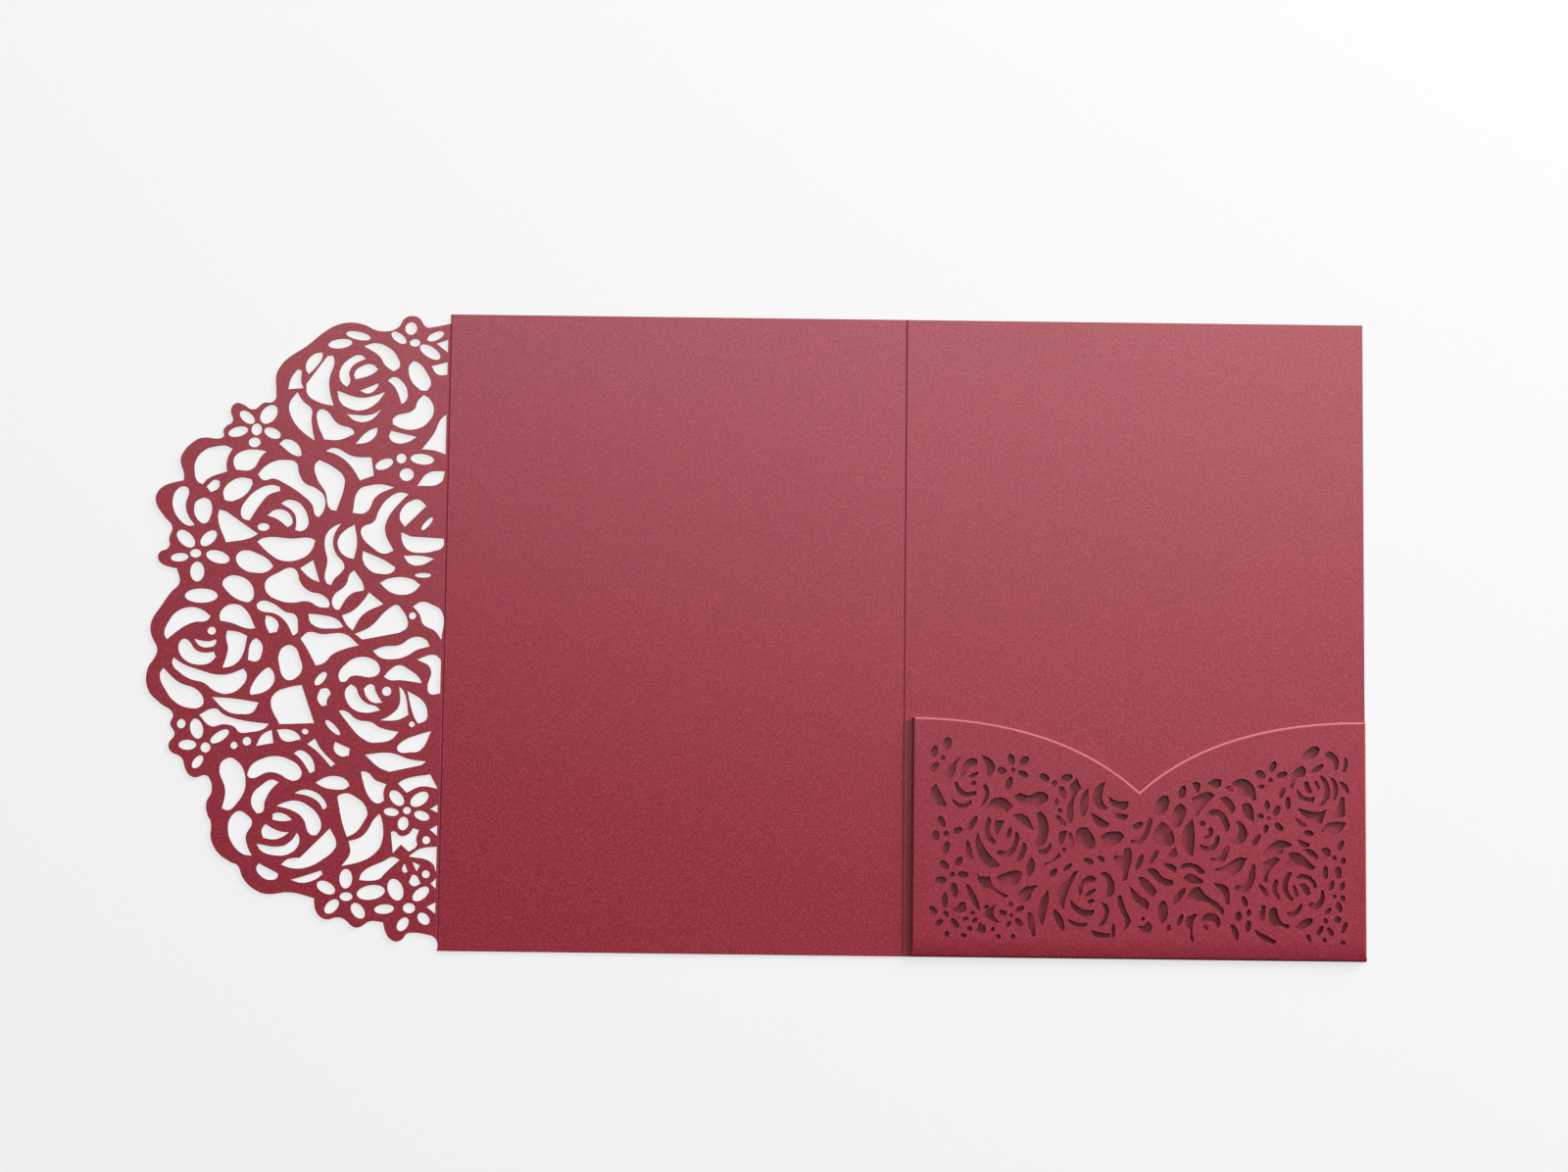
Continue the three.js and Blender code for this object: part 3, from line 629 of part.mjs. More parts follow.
// Points of an arc round a centre, from one angle to another in degrees.
function arc(x, y, radius, from, to) {
  const points = [];
  for (let i = 0; i <= FOLD_SEGMENTS; i += 1) {
    const angle = THREE.MathUtils.degToRad(from + ((to - from) * i) / FOLD_SEGMENTS);
    points.push(new THREE.Vector2(x + radius * Math.cos(angle), y + radius * Math.sin(angle)));
  }
  return points;
}

// Corners listed as x, y, x, y and so on.
function corners(numbers) {
  const points = [];
  for (let i = 0; i < numbers.length; i += 2) {
    points.push(new THREE.Vector2(numbers[i], numbers[i + 1]));
  }
  return points;
}

// Corners round an oval from tip to tip, with the area of the true ellipse.
function ovalCorners([x0, y0, x1, y1, width]) {
  const middle = new THREE.Vector2((x0 + x1) / 2, (y0 + y1) / 2);
  const half = new THREE.Vector2((x1 - x0) / 2, (y1 - y0) / 2);
  const side = new THREE.Vector2(-half.y, half.x).setLength(width / 2);
  const count = 2 * half.length() < SMALL_OVAL ? SMALL_OVAL_CORNERS : OVAL_CORNERS;
  const step = (2 * Math.PI) / count;
  const grow = Math.sqrt(step / Math.sin(step));
  const points = [];
  for (let i = 0; i < count; i += 1) {
    const point = middle.clone();
    point.addScaledVector(half, grow * Math.cos(i * step));
    point.addScaledVector(side, grow * Math.sin(i * step));
    points.push(point);
  }
  return points;
}

// The same outline without the corners that lie almost on the line between their neighbours.
function thinned(points) {
  const kept = [...points];
  for (let i = 0; i < kept.length && kept.length > FEWEST_CORNERS;) {
    const before = kept[(i + kept.length - 1) % kept.length];
    const after = kept[(i + 1) % kept.length];
    const along = after.clone().sub(before);
    const offset = kept[i].clone().sub(before);
    const distance = Math.abs(along.cross(offset)) / along.length();
    if (distance < LACE_TOLERANCE) {
      kept.splice(i, 1);
    }
    i += 1;
  }
  return kept;
}

// Every opening of one lace as a shape, fitted to the field that it is cut in.
function laceShapes(lace, left, scaleX, scaleY) {
  const place = (point) => new THREE.Vector2(left + point.x * scaleX, point.y * scaleY);
  const shapes = [];
  for (const motif of Object.values(lace)) {
    for (const oval of motif.ovals) {
      shapes.push(new THREE.Shape(ovalCorners(oval).map(place)));
    }
    for (const cell of motif.cells) {
      shapes.push(new THREE.Shape(thinned(corners(cell)).map(place)));
    }
  }
  return shapes;
}

// Heights through the folded foot of the pocket
const panelTop = BOARD;
const tabTop = 2 * BOARD;
const frontUnder = BOARD + POCKET_GAP;
const frontTop = 2 * BOARD + POCKET_GAP;
const CLEAR = 1; // how far a cutting body runs past what it cuts

const rightEdge = 2 * PANEL_WIDTH;
const pocketLeft = PANEL_WIDTH + POCKET_INSET;
const footOuter = frontTop / 2;
const footInner = POCKET_GAP / 2;

// The flat sheet: a profile with its two scores, cut to the plan of flap and panels.
function flatSheet() {
  const half = SCORE_WIDTH / 2;
  const valley = panelTop - SCORE_DEPTH;
  const profile = corners([
    -FLAP_REACH, 0, rightEdge, 0, rightEdge, panelTop,
    PANEL_WIDTH + half, panelTop, PANEL_WIDTH, valley, PANEL_WIDTH - half, panelTop,
    half, panelTop, 0, valley, -half, panelTop, -FLAP_REACH, panelTop,
  ]);
  const scaleX = FLAP_REACH / FLAP_DRAWN[0];
  const scaleY = PANEL_HEIGHT / FLAP_DRAWN[1];
  const place = (point) => new THREE.Vector2(point.x * scaleX, point.y * scaleY);
  const edge = thinned(corners(FLAP_EDGE)).map(place);
  const plan = new THREE.Shape([
    ...edge,
    ...corners([
      0, 0, pocketLeft, 0, pocketLeft, footOuter, rightEdge, footOuter,
      rightEdge, PANEL_HEIGHT, 0, PANEL_HEIGHT,
    ]),
  ]);
  const openings = laceShapes(FLAP_LACE, 0, scaleX, scaleY);
  return runUp(profile, 0, PANEL_HEIGHT)
    .intersect(raised(plan, -CLEAR, panelTop + CLEAR))
    .subtract(raised(openings, -CLEAR, panelTop + CLEAR));
}

// The foot of the right panel, folded up through half a turn, with a little flat board past both
// ends of the fold so that it joins the panel and the front over a length and not at one face.
function pocketFoot() {
  const lapEnd = footOuter + FOOT_LAP;
  const profile = [
    ...arc(footOuter, footOuter, footOuter, 270, 90),
    new THREE.Vector2(lapEnd, frontTop),
    new THREE.Vector2(lapEnd, frontUnder),
    ...arc(footOuter, footOuter, footInner, 90, 270),
    new THREE.Vector2(lapEnd, panelTop),
    new THREE.Vector2(lapEnd, 0),
  ];
  return runAcross(profile, pocketLeft, rightEdge);
}

// The pocket's front with its sides folded behind it and glued to the panel as tabs.
function pocketFront() {
  const sideOuter = (BOARD + POCKET_GAP) / 2;
  const sideInner = (POCKET_GAP - BOARD) / 2;
  const turn = panelTop + sideOuter;
  const leftTurn = pocketLeft + sideOuter;
  const rightTurn = rightEdge - sideOuter;
  const profile = [
    new THREE.Vector2(pocketLeft + TAB_WIDTH, tabTop),
    ...arc(leftTurn, turn, sideInner, 270, 90),
    ...arc(rightTurn, turn, sideInner, 90, -90),
    new THREE.Vector2(rightEdge - TAB_WIDTH, tabTop),
    new THREE.Vector2(rightEdge - TAB_WIDTH, panelTop),
    ...arc(rightTurn, turn, sideOuter, -90, 90),
    ...arc(leftTurn, turn, sideOuter, 90, 270),
    new THREE.Vector2(pocketLeft + TAB_WIDTH, panelTop),
  ];
  const middle = (pocketLeft + rightEdge) / 2;
  const point = POCKET_HEIGHT - NOTCH_DEPTH;
  const pull = NOTCH_DEPTH / NOTCH_SLOPE;
  const plan = new THREE.Shape();
  plan.moveTo(pocketLeft - CLEAR, 0);
  plan.lineTo(rightEdge + CLEAR, 0);
  plan.lineTo(rightEdge + CLEAR, POCKET_HEIGHT);
  plan.quadraticCurveTo(middle + pull, POCKET_HEIGHT, middle, point);
  plan.quadraticCurveTo(middle - pull, POCKET_HEIGHT, pocketLeft - CLEAR, POCKET_HEIGHT);
  const openings = laceShapes(
    POCKET_LACE,
    PANEL_WIDTH,
    PANEL_WIDTH / POCKET_DRAWN[0],
    POCKET_HEIGHT / POCKET_DRAWN[1],
  );
  return runUp(profile, footOuter, POCKET_HEIGHT)
    .intersect(raised(plan, 0, frontTop + CLEAR))
    .subtract(raised(openings, (tabTop + frontUnder) / 2, frontTop + CLEAR));
}

const folded = flatSheet().add(pocketFoot()).add(pocketFront());
const mesh = folded.getMesh();
const geometry = new THREE.BufferGeometry();
geometry.setAttribute('position', new THREE.BufferAttribute(mesh.vertProperties, mesh.numProp));
geometry.setIndex(new THREE.BufferAttribute(mesh.triVerts, 1));
geometry.computeBoundingBox();
const outline = geometry.boundingBox;
geometry.translate(-(outline.min.x + outline.max.x) / 2, -PANEL_HEIGHT / 2, 0);
geometry.computeVertexNormals();

const pearlBurgundy = new THREE.MeshStandardMaterial({
  color: 0xa34a5a,
  roughness: 0.42,
  metalness: 0.15,
});
const card = new THREE.Mesh(geometry, pearlBurgundy);
card.name = 'card';

const invitation = new THREE.Group();
invitation.add(card);

export default invitation;
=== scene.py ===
# Laser-cut wedding invitation card, open and seen from above
# The imported CAD card gives every outline and height. This lesson turns its few-sided openings into
# smooth ones, rounds the folds, and gives the board its pearl finish and its cut edges.

# %% [markdown]
# ## The imported card
# The real card is one sheet of pearl board, cut by laser and folded. A modeller could draw it again
# by eye, but the imported part already holds every size, so the lesson starts from that part.
# Its box is kept now.

# %% Load the imported card
import math

import bmesh
import bpy
from mathutils import Matrix, Vector


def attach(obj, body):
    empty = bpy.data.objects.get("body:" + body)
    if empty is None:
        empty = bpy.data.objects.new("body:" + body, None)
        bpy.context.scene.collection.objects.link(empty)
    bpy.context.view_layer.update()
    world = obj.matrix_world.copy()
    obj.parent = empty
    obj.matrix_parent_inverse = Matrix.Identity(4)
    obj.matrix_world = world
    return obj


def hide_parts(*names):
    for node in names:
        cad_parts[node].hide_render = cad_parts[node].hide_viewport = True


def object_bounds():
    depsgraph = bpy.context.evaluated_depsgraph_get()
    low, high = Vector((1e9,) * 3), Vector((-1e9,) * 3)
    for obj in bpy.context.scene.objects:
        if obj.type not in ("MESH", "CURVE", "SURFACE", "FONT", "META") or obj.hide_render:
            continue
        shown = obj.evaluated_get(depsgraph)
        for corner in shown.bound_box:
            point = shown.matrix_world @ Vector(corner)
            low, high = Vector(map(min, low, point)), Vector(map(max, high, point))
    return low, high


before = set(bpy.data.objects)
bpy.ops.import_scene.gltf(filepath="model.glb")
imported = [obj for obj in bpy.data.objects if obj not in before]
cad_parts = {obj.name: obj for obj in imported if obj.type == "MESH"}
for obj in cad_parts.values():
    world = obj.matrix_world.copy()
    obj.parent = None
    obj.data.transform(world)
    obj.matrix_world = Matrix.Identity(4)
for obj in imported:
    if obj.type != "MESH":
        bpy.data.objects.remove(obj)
cad_low, cad_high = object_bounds()
card_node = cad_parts["card"]
MM = 0.001
print("card box in millimetres", [round(side / MM, 2) for side in cad_high - cad_low])

# %% [markdown]
# ## Sizes of the folded board
# The board is 0.35 mm thick and the whole card 1.6 mm, so the pocket stands two boards and a gap
# above the table. All places are worked out from the right edge and the foot, because those two
# edges are straight, and the flap on the left is wavy.

# %% Name the sizes
BOARD = 0.35 * MM
PANEL_WIDTH = 130 * MM
POCKET_INSET = 2.6 * MM
TAB_WIDTH = 12 * MM
TAB_SETBACK = 1.6 * MM
SCORE_WIDTH = 0.7 * MM
SCORE_DEPTH = 0.12 * MM

card_height = cad_high.z - cad_low.z
pocket_gap = card_height - 2 * BOARD
right_edge = cad_high.x
middle_fold = right_edge - PANEL_WIDTH
left_fold = right_edge - 2 * PANEL_WIDTH
pocket_left = middle_fold + POCKET_INSET
foot = cad_low.y
foot_radius = card_height / 2
side_radius = (BOARD + pocket_gap) / 2
print("gap behind the pocket's front in millimetres", round(pocket_gap / MM, 2))

# %% [markdown]
# ## Outlines from the flat faces
# A laser follows outlines, and so does this lesson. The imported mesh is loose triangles, so a copy of
# it is merged first. The triangles that lie flat at one height make a field with holes, and an edge
# that only one of them uses is on its rim. Walking those edges gives each outline as a closed ring.
# The field is a dict, because that keeps the mesh's own order, and the rings then come out in the
# same order on every run.

# %% Walk the outlines at one height
WELD = 0.0005 * MM
LEVEL = 0.01 * MM
FLAT_NORMAL = 0.9


def flat_outlines(node, height, facing):
    """Rings of points round the faces of a node that lie at a height and face up (1) or down (-1)."""
    bm = bmesh.new()
    bm.from_mesh(node.data)
    bmesh.ops.remove_doubles(bm, verts=bm.verts, dist=WELD)
    field = {}
    for face in bm.faces:
        level = all(abs(vert.co.z - height) < LEVEL for vert in face.verts)
        if level and face.normal.z * facing > FLAT_NORMAL:
            field[face] = True
    following = {}
    for face in field:
        for loop in face.loops:
            if not any(other in field for other in loop.edge.link_faces if other is not face):
                following[loop.vert] = loop.link_loop_next.vert
    rings = []
    while following:
        start, vert = following.popitem()
        ring = [start.co.xy]
        while vert is not start:
            ring.append(vert.co.xy)
            vert = following.pop(vert)
        rings.append([point.copy() for point in ring])
    bm.free()
    return rings


sheet_rings = flat_outlines(card_node, cad_low.z, -1)
front_rings = flat_outlines(card_node, cad_high.z, 1)
print("outlines of the sheet", len(sheet_rings), "and of the pocket's front", len(front_rings))

# %% [markdown]
# ## From a few corners to a smooth cut
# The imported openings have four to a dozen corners, to keep the solid light. A laser cuts round petals
# and ovals, with sharp points only where two petals meet. An opening whose corners match across its
# middle was an oval, and becomes a true ellipse again. Any other outline keeps its corners: a gentle
# one gets an automatic Bezier handle, and a steep one or one beside a long straight stays sharp.

# %% Sort the corners
STRAIGHT_TURN = math.radians(2)
SHARP_TURN = math.radians(66)
LONG_STRAIGHT = 9 * MM
OVAL_CORNERS = (4, 6)
OVAL_MATCH = 0.02 * MM
OVAL_POINTS = 12


def turn_at(ring, index):
    """Angle that the outline turns through at one of its corners."""
    before = ring[index] - ring[index - 1]
    after = ring[(index + 1) % len(ring)] - ring[index]
    return before.angle(after, 0.0)


def without_straights(ring):
    """The ring without the points that lie on a straight line between their neighbours."""
    kept = list(ring)
    index = 0
    while index < len(kept):
        if turn_at(kept, index) < STRAIGHT_TURN:
            kept.pop(index)
        else:
            index += 1
    return kept


def as_oval(ring):
    """The ellipse with the area of a four or six-cornered oval, or None for any other ring."""
    count = len(ring)
    if count not in OVAL_CORNERS:
        return None
    middle = sum(ring, Vector((0, 0))) / count
    opposite = [ring[i] + ring[i + count // 2] - 2 * middle for i in range(count // 2)]
    if max(gap.length for gap in opposite) > OVAL_MATCH:
        return None
    step = math.tau / count
    shrink = math.sqrt(math.sin(step) / step)
    first = (ring[0] - middle) * shrink
    second = ((ring[1] - middle) * shrink - first * math.cos(step)) / math.sin(step)
    angles = [math.tau * i / OVAL_POINTS for i in range(OVAL_POINTS)]
    return [middle + first * math.cos(a) + second * math.sin(a) for a in angles]


def corner_kinds(ring):
    """For each corner of a ring, whether it stays sharp."""
    sharp = []
    for index, point in enumerate(ring):
        before = (point - ring[index - 1]).length
        after = (ring[(index + 1) % len(ring)] - point).length
        sharp.append(turn_at(ring, index) > SHARP_TURN or max(before, after) > LONG_STRAIGHT)
    return sharp


# %% [markdown]
# ## Board from outlines
# A flat curve fills its outermost ring and leaves the rings inside it open, so one curve holds a
# whole sheet with hundreds of openings. Its extrusion gives the board's thickness, and a very small
# bevel takes the knife-edge off the cut, where light catches real board. The curve is then made a
# mesh, its parts are welded together, and the cut walls get the second material.

# %% Cut a board
EDGE_ROUND = 0.035 * MM
CURVE_STEPS = 5
FACE_SLOT = 0
BURNT_SLOT = 1
HIGHLIGHT_SLOT = 2
SCORE_SHADE_SLOT = 3


def add_ring(curve, ring):
    """One closed outline of a flat curve."""
    straightened = without_straights(ring)
    oval = as_oval(straightened)
    points = oval or straightened
    sharp = [False] * len(points) if oval else corner_kinds(points)
    spline = curve.splines.new("BEZIER")
    spline.bezier_points.add(len(points) - 1)
    spline.use_cyclic_u = True
    for knot, point, is_sharp in zip(spline.bezier_points, points, sharp):
        kind = "VECTOR" if is_sharp else "AUTO"
        knot.co = (point.x, point.y, 0)
        knot.handle_left_type = kind
        knot.handle_right_type = kind


def board(name, rings, low, thickness, edge_round):
    """A bmesh of board with the given outlines, from a height up."""
    curve = bpy.data.curves.new(name, "CURVE")
    curve.dimensions = "2D"
    curve.fill_mode = "BOTH"
    curve.resolution_u = CURVE_STEPS
    curve.bevel_depth = edge_round
    curve.bevel_resolution = 0
    curve.offset = -edge_round
    curve.extrude = thickness / 2 - edge_round
    for ring in rings:
        add_ring(curve, ring)
    drawn = bpy.data.objects.new(name, curve)
    bpy.context.scene.collection.objects.link(drawn)
    bpy.context.view_layer.update()
    mesh = bpy.data.meshes.new_from_object(drawn)
    bpy.data.objects.remove(drawn)
    bm = bmesh.new()
    bm.from_mesh(mesh)
    bpy.data.meshes.remove(mesh)
    bmesh.ops.remove_doubles(bm, verts=bm.verts, dist=WELD)
    bmesh.ops.translate(bm, verts=bm.verts, vec=(0, 0, low + thickness / 2))
    bmesh.ops.recalc_face_normals(bm, faces=bm.faces)
    for face in bm.faces:
        face.material_index = FACE_SLOT if abs(face.normal.z) > FLAT_NORMAL else BURNT_SLOT
    open_edges = sum(edge.is_boundary for edge in bm.edges)
    print(name, "has", len(bm.faces), "faces and", open_edges, "open edges")
    return bm


# %% [markdown]
# ## Flap and panels
# The left flap, the middle panel and the right panel are one flat sheet. The two folds are scored
# lines, pressed into the face. A cut plane on each side of a score and one along its middle give the
# edges that a groove needs, and the middle ones are pushed down. The pressed groove gets a duller
# material, and its dark colour is painted shade, so it reads as a thin dark line.

# %% Make the flap and the panels
sheet = board("flap_and_panels", sheet_rings, cad_low.z, BOARD, EDGE_ROUND)
sheet_top = cad_low.z + BOARD


def cut(bm, point, normal):
    """Gives the mesh new edges where a plane meets it."""
    everything = bm.verts[:] + bm.edges[:] + bm.faces[:]
    bmesh.ops.bisect_plane(bm, geom=everything, dist=WELD, plane_co=point, plane_no=normal)


def press_score(bm, fold):
    """A shallow V groove up the whole sheet at one fold, with painted shade on its faces."""
    for place in (fold - SCORE_WIDTH / 2, fold, fold + SCORE_WIDTH / 2):
        cut(bm, (place, 0, 0), (1, 0, 0))
    for vert in bm.verts:
        if abs(vert.co.x - fold) < WELD and vert.co.z > sheet_top - LEVEL:
            vert.co.z -= SCORE_DEPTH
    for face in bm.faces:
        middle = face.calc_center_median()
        if abs(middle.x - fold) < SCORE_WIDTH / 2 and middle.z > sheet_top - SCORE_DEPTH - LEVEL:
            face.material_index = SCORE_SHADE_SLOT


press_score(sheet, left_fold)
press_score(sheet, middle_fold)
print("sheet is", round((right_edge - cad_low.x) / MM, 1), "mm wide")

# %% [markdown]
# ## Front of the pocket
# The foot of the right panel is folded up over the panel, and its top edge is cut in two arcs that
# meet in a V. That edge catches the light as a thin pale line, so it gets a painted highlight. A bevel
# would spoil the fill where the arcs meet, so the highlight is a ribbon thinner than the coating: the
# mouth's own edges are copied, extruded inwards and given that thickness.

# %% Make the front
RIM_WIDTH = 0.55 * MM
RIM_SKIN = 0.015 * MM
MOUTH_REACH = 0.5 * MM
MOUTH_LOW = 40 * MM
front_low = cad_high.z - BOARD
front = board("pocket_front", front_rings, front_low, BOARD, 0)


def outermost(rings):
    """The ring with the widest reach across the card."""
    return max(rings, key=lambda ring: max(p.x for p in ring) - min(p.x for p in ring))


def mouth_height(mouth, x):
    """Height of the mouth's line over a place across the card."""
    for before, after in zip(mouth, mouth[1:]):
        if before.x <= x <= after.x:
            share = (x - before.x) / max(after.x - before.x, WELD)
            return before.y + share * (after.y - before.y)
    return mouth[0].y


mouth = sorted((p for p in outermost(front_rings) if p.y > foot + MOUTH_LOW), key=lambda p: p.x)
mouth_side = max(point.y for point in mouth)
mouth_left = mouth[0].x
mouth_right = mouth[-1].x
rim_places = set()
# The cut walls along the mouth take the pale pink of the painted highlight.
for face in front.faces:
    near = all(abs(vert.co.y - mouth_height(mouth, vert.co.x)) < MOUTH_REACH for vert in face.verts)
    if face.material_index == BURNT_SLOT and near:
        face.material_index = HIGHLIGHT_SLOT
        rim_places.update(vert.co.to_tuple() for vert in face.verts if vert.co.z > cad_high.z - LEVEL)
print("pocket's shoulders stand at", round((mouth_side - foot) / MM, 1), "mm")


def highlight_ribbon(places):
    """A thin ribbon of painted highlight on the face of the board, from the mouth's edge inwards."""
    line = [Vector(place) for place in sorted(places)]
    bm = bmesh.new()
    chain = [bm.verts.new(place + Vector((0, 0, RIM_SKIN))) for place in line]
    edges = [bm.edges.new(pair) for pair in zip(chain, chain[1:])]
    grown = bmesh.ops.extrude_edge_only(bm, edges=edges)["geom"]
    inner = sorted((v for v in grown if isinstance(v, bmesh.types.BMVert)), key=lambda v: v.co.x)
    for index, vert in enumerate(inner):
        before = (line[index] - line[max(index - 1, 0)]).normalized()
        after = (line[min(index + 1, len(line) - 1)] - line[index]).normalized()
        along = (before + after).normalized()
        lean = max(before.dot(along), after.dot(along))
        vert.co += Vector((along.y, -along.x, 0)) * (RIM_WIDTH / lean)
    bm.normal_update()
    facing_down = [face for face in bm.faces if face.normal.z < 0]
    bmesh.ops.reverse_faces(bm, faces=facing_down)
    bmesh.ops.solidify(bm, geom=bm.faces[:], thickness=RIM_SKIN)
    bmesh.ops.recalc_face_normals(bm, faces=bm.faces)
    for face in bm.faces:
        face.material_index = HIGHLIGHT_SLOT
    return bm


rim = highlight_ribbon(rim_places)
print("rim has", len(rim.faces), "faces")

# %% [markdown]
# ## Rounded folds
# A fold in thick board is a half round. A strip as thick as the board is drawn at the edge where the
# fold starts, and spun half a turn about the line that the fold turns round. The sides of the pocket
# go on as flat tabs that are glued to the panel, so their last face is pulled inwards.

# %% Fold the foot and the sides
FOLD_STEPS = 18


def strip(corner, along, across):
    """A bmesh with one flat strip, given by a corner and its two sides."""
    bm = bmesh.new()
    ends = [corner, corner + along, corner + along + across, corner + across]
    bm.faces.new([bm.verts.new(end) for end in ends])
    return bm


def fold_round(bm, centre, axis, angle):
    """Spins the strip into a half-round fold and returns the face at its far end."""
    geometry = bm.verts[:] + bm.edges[:] + bm.faces[:]
    spun = bmesh.ops.spin(
        bm, geom=geometry, cent=centre, axis=axis, angle=angle, steps=FOLD_STEPS,
        use_merge=False, use_duplicate=False,
    )
    return [item for item in spun["geom_last"] if isinstance(item, bmesh.types.BMFace)]


def closed(bm):
    """Welds the fold and turns its faces outwards."""
    bmesh.ops.remove_doubles(bm, verts=bm.verts, dist=WELD)
    bmesh.ops.holes_fill(bm, edges=[edge for edge in bm.edges if edge.is_boundary])
    bmesh.ops.recalc_face_normals(bm, faces=bm.faces)
    return bm


across_foot = Vector((right_edge - pocket_left, 0, 0))
foot_start = Vector((pocket_left, foot + foot_radius, cad_low.z))
foot_fold = strip(foot_start, across_foot, Vector((0, 0, BOARD)))
foot_centre = Vector((pocket_left, foot + foot_radius, cad_low.z + foot_radius))
fold_round(foot_fold, foot_centre, (1, 0, 0), -math.pi)
closed(foot_fold)


def side_fold(edge, inwards):
    """One side of the pocket, folded behind the front and run on as a glued tab."""
    bottom = foot + foot_radius
    up_side = Vector((0, mouth_side - bottom, 0))
    bm = strip(Vector((edge, bottom, front_low)), up_side, Vector((0, 0, BOARD)))
    centre = Vector((edge, bottom, cad_high.z - side_radius))
    far = fold_round(bm, centre, (0, 1, 0), -math.pi * inwards)
    tab = bmesh.ops.extrude_face_region(bm, geom=far)
    tab_verts = [item for item in tab["geom"] if isinstance(item, bmesh.types.BMVert)]
    bmesh.ops.delete(bm, geom=far, context="FACES_ONLY")
    bmesh.ops.translate(bm, verts=tab_verts, vec=((TAB_WIDTH - side_radius) * inwards, 0, 0))
    for vert in tab_verts:
        if vert.co.y > mouth_side - LEVEL:
            vert.co.y -= TAB_SETBACK
    return closed(bm)


left_side = side_fold(mouth_left, 1)
right_side = side_fold(mouth_right, -1)
print("folds made with", FOLD_STEPS, "steps each")

# %% [markdown]
# ## The pocket leans to its foot
# The foot's fold pulls the pocket down over its last few millimetres, so they turn away from the
# light and look darker. The same lowering is done to the front, the fold and the sides, which
# keeps them joined. It needs edges to bend at, so a few cuts come first.

# %% Lower the pocket towards its foot
LEAN_LENGTH = 6 * MM
LEAN_CUTS = 12
LEAN_DROP = 0.38


def lean_to_foot(bm):
    """Presses a piece of the pocket down towards the panel, the more the nearer the foot."""
    for step in range(1, LEAN_CUTS):
        cut(bm, (0, foot + LEAN_LENGTH * step / LEAN_CUTS, 0), (0, 1, 0))
    for vert in bm.verts:
        left = max(0.0, 1 - (vert.co.y - foot) / LEAN_LENGTH)
        rise = max(0.0, vert.co.z - sheet_top)
        vert.co.z -= rise * LEAN_DROP * left ** 2
    bm.normal_update()


for piece in (front, foot_fold, left_side, right_side):
    lean_to_foot(piece)
foot_top = max(vert.co.z for vert in foot_fold.verts)
print("foot's fold now stands", round((foot_top - cad_low.z) / MM, 2), "mm high")

# %% [markdown]
# ## Pearl board
# The board is dyed burgundy through and coated with mica, so it is a soft metallic satin with a very
# fine sparkle. A high index of refraction with a broad roughness gives the satin its pale veil where
# the lamp is nearly mirrored. The sparkle is a noise of about a third of a millimetre that lightens
# the colour here and there. It reads Object coordinates, so it stays on the card.

# %% Mix the pearl finish
BURGUNDY = (0.295, 0.003, 0.022, 1)
BURGUNDY_LIGHT = (0.6, 0.06, 0.1, 1)
PEARL_ROUGHNESS = 0.4
PEARL_METALLIC = 0.05
PEARL_IOR = 2.0
SPARKLE_PER_METRE = 2900
SPARKLE_DETAIL = 1
SPARKLE_NONE = 0.47
SPARKLE_FULL = 0.8
FLAKE_STRENGTH = 0.12
FLAKE_DEPTH = 0.05 * MM
GRAIN_TURN = (0.6, 0.5, 0.3)


def principled(name, colour, roughness, metallic):
    """A new material with plain values, and its shader and node tree."""
    material = bpy.data.materials.new(name)
    material.use_nodes = True
    shader = material.node_tree.nodes["Principled BSDF"]
    shader.inputs["Base Color"].default_value = colour
    shader.inputs["Roughness"].default_value = roughness
    shader.inputs["Metallic"].default_value = metallic
    return material, shader, material.node_tree


def noise(tree, scale, detail):
    """A noise texture on Object coordinates, turned so that no face lies flat in its grid."""
    place = tree.nodes.new("ShaderNodeTexCoord")
    turned = tree.nodes.new("ShaderNodeMapping")
    turned.inputs["Rotation"].default_value = GRAIN_TURN
    texture = tree.nodes.new("ShaderNodeTexNoise")
    texture.inputs["Scale"].default_value = scale
    texture.inputs["Detail"].default_value = detail
    tree.links.new(place.outputs["Object"], turned.inputs["Vector"])
    tree.links.new(turned.outputs["Vector"], texture.inputs["Vector"])
    return texture


def ramp(tree, source, stops):
    """A colour ramp over a texture, with its stops as place and colour."""
    scale = tree.nodes.new("ShaderNodeValToRGB")
    for element, (place, colour) in zip(scale.color_ramp.elements, stops):
        element.position = place
        element.color = colour
    tree.links.new(source, scale.inputs["Fac"])
    return scale


pearl, pearl_shader, pearl_tree = principled("pearl_burgundy", BURGUNDY, PEARL_ROUGHNESS, PEARL_METALLIC)
pearl_shader.inputs["IOR"].default_value = PEARL_IOR
sparkle = noise(pearl_tree, SPARKLE_PER_METRE, SPARKLE_DETAIL)
sparkle_stops = [(SPARKLE_NONE, BURGUNDY), (SPARKLE_FULL, BURGUNDY_LIGHT)]
sparkle_ramp = ramp(pearl_tree, sparkle.outputs["Fac"], sparkle_stops)
pearl_tree.links.new(sparkle_ramp.outputs["Color"], pearl_shader.inputs["Base Color"])
flake_bump = pearl_tree.nodes.new("ShaderNodeBump")
flake_bump.inputs["Strength"].default_value = FLAKE_STRENGTH
flake_bump.inputs["Distance"].default_value = FLAKE_DEPTH
pearl_tree.links.new(sparkle.outputs["Fac"], flake_bump.inputs["Height"])
pearl_tree.links.new(flake_bump.outputs["Normal"], pearl_shader.inputs["Normal"])
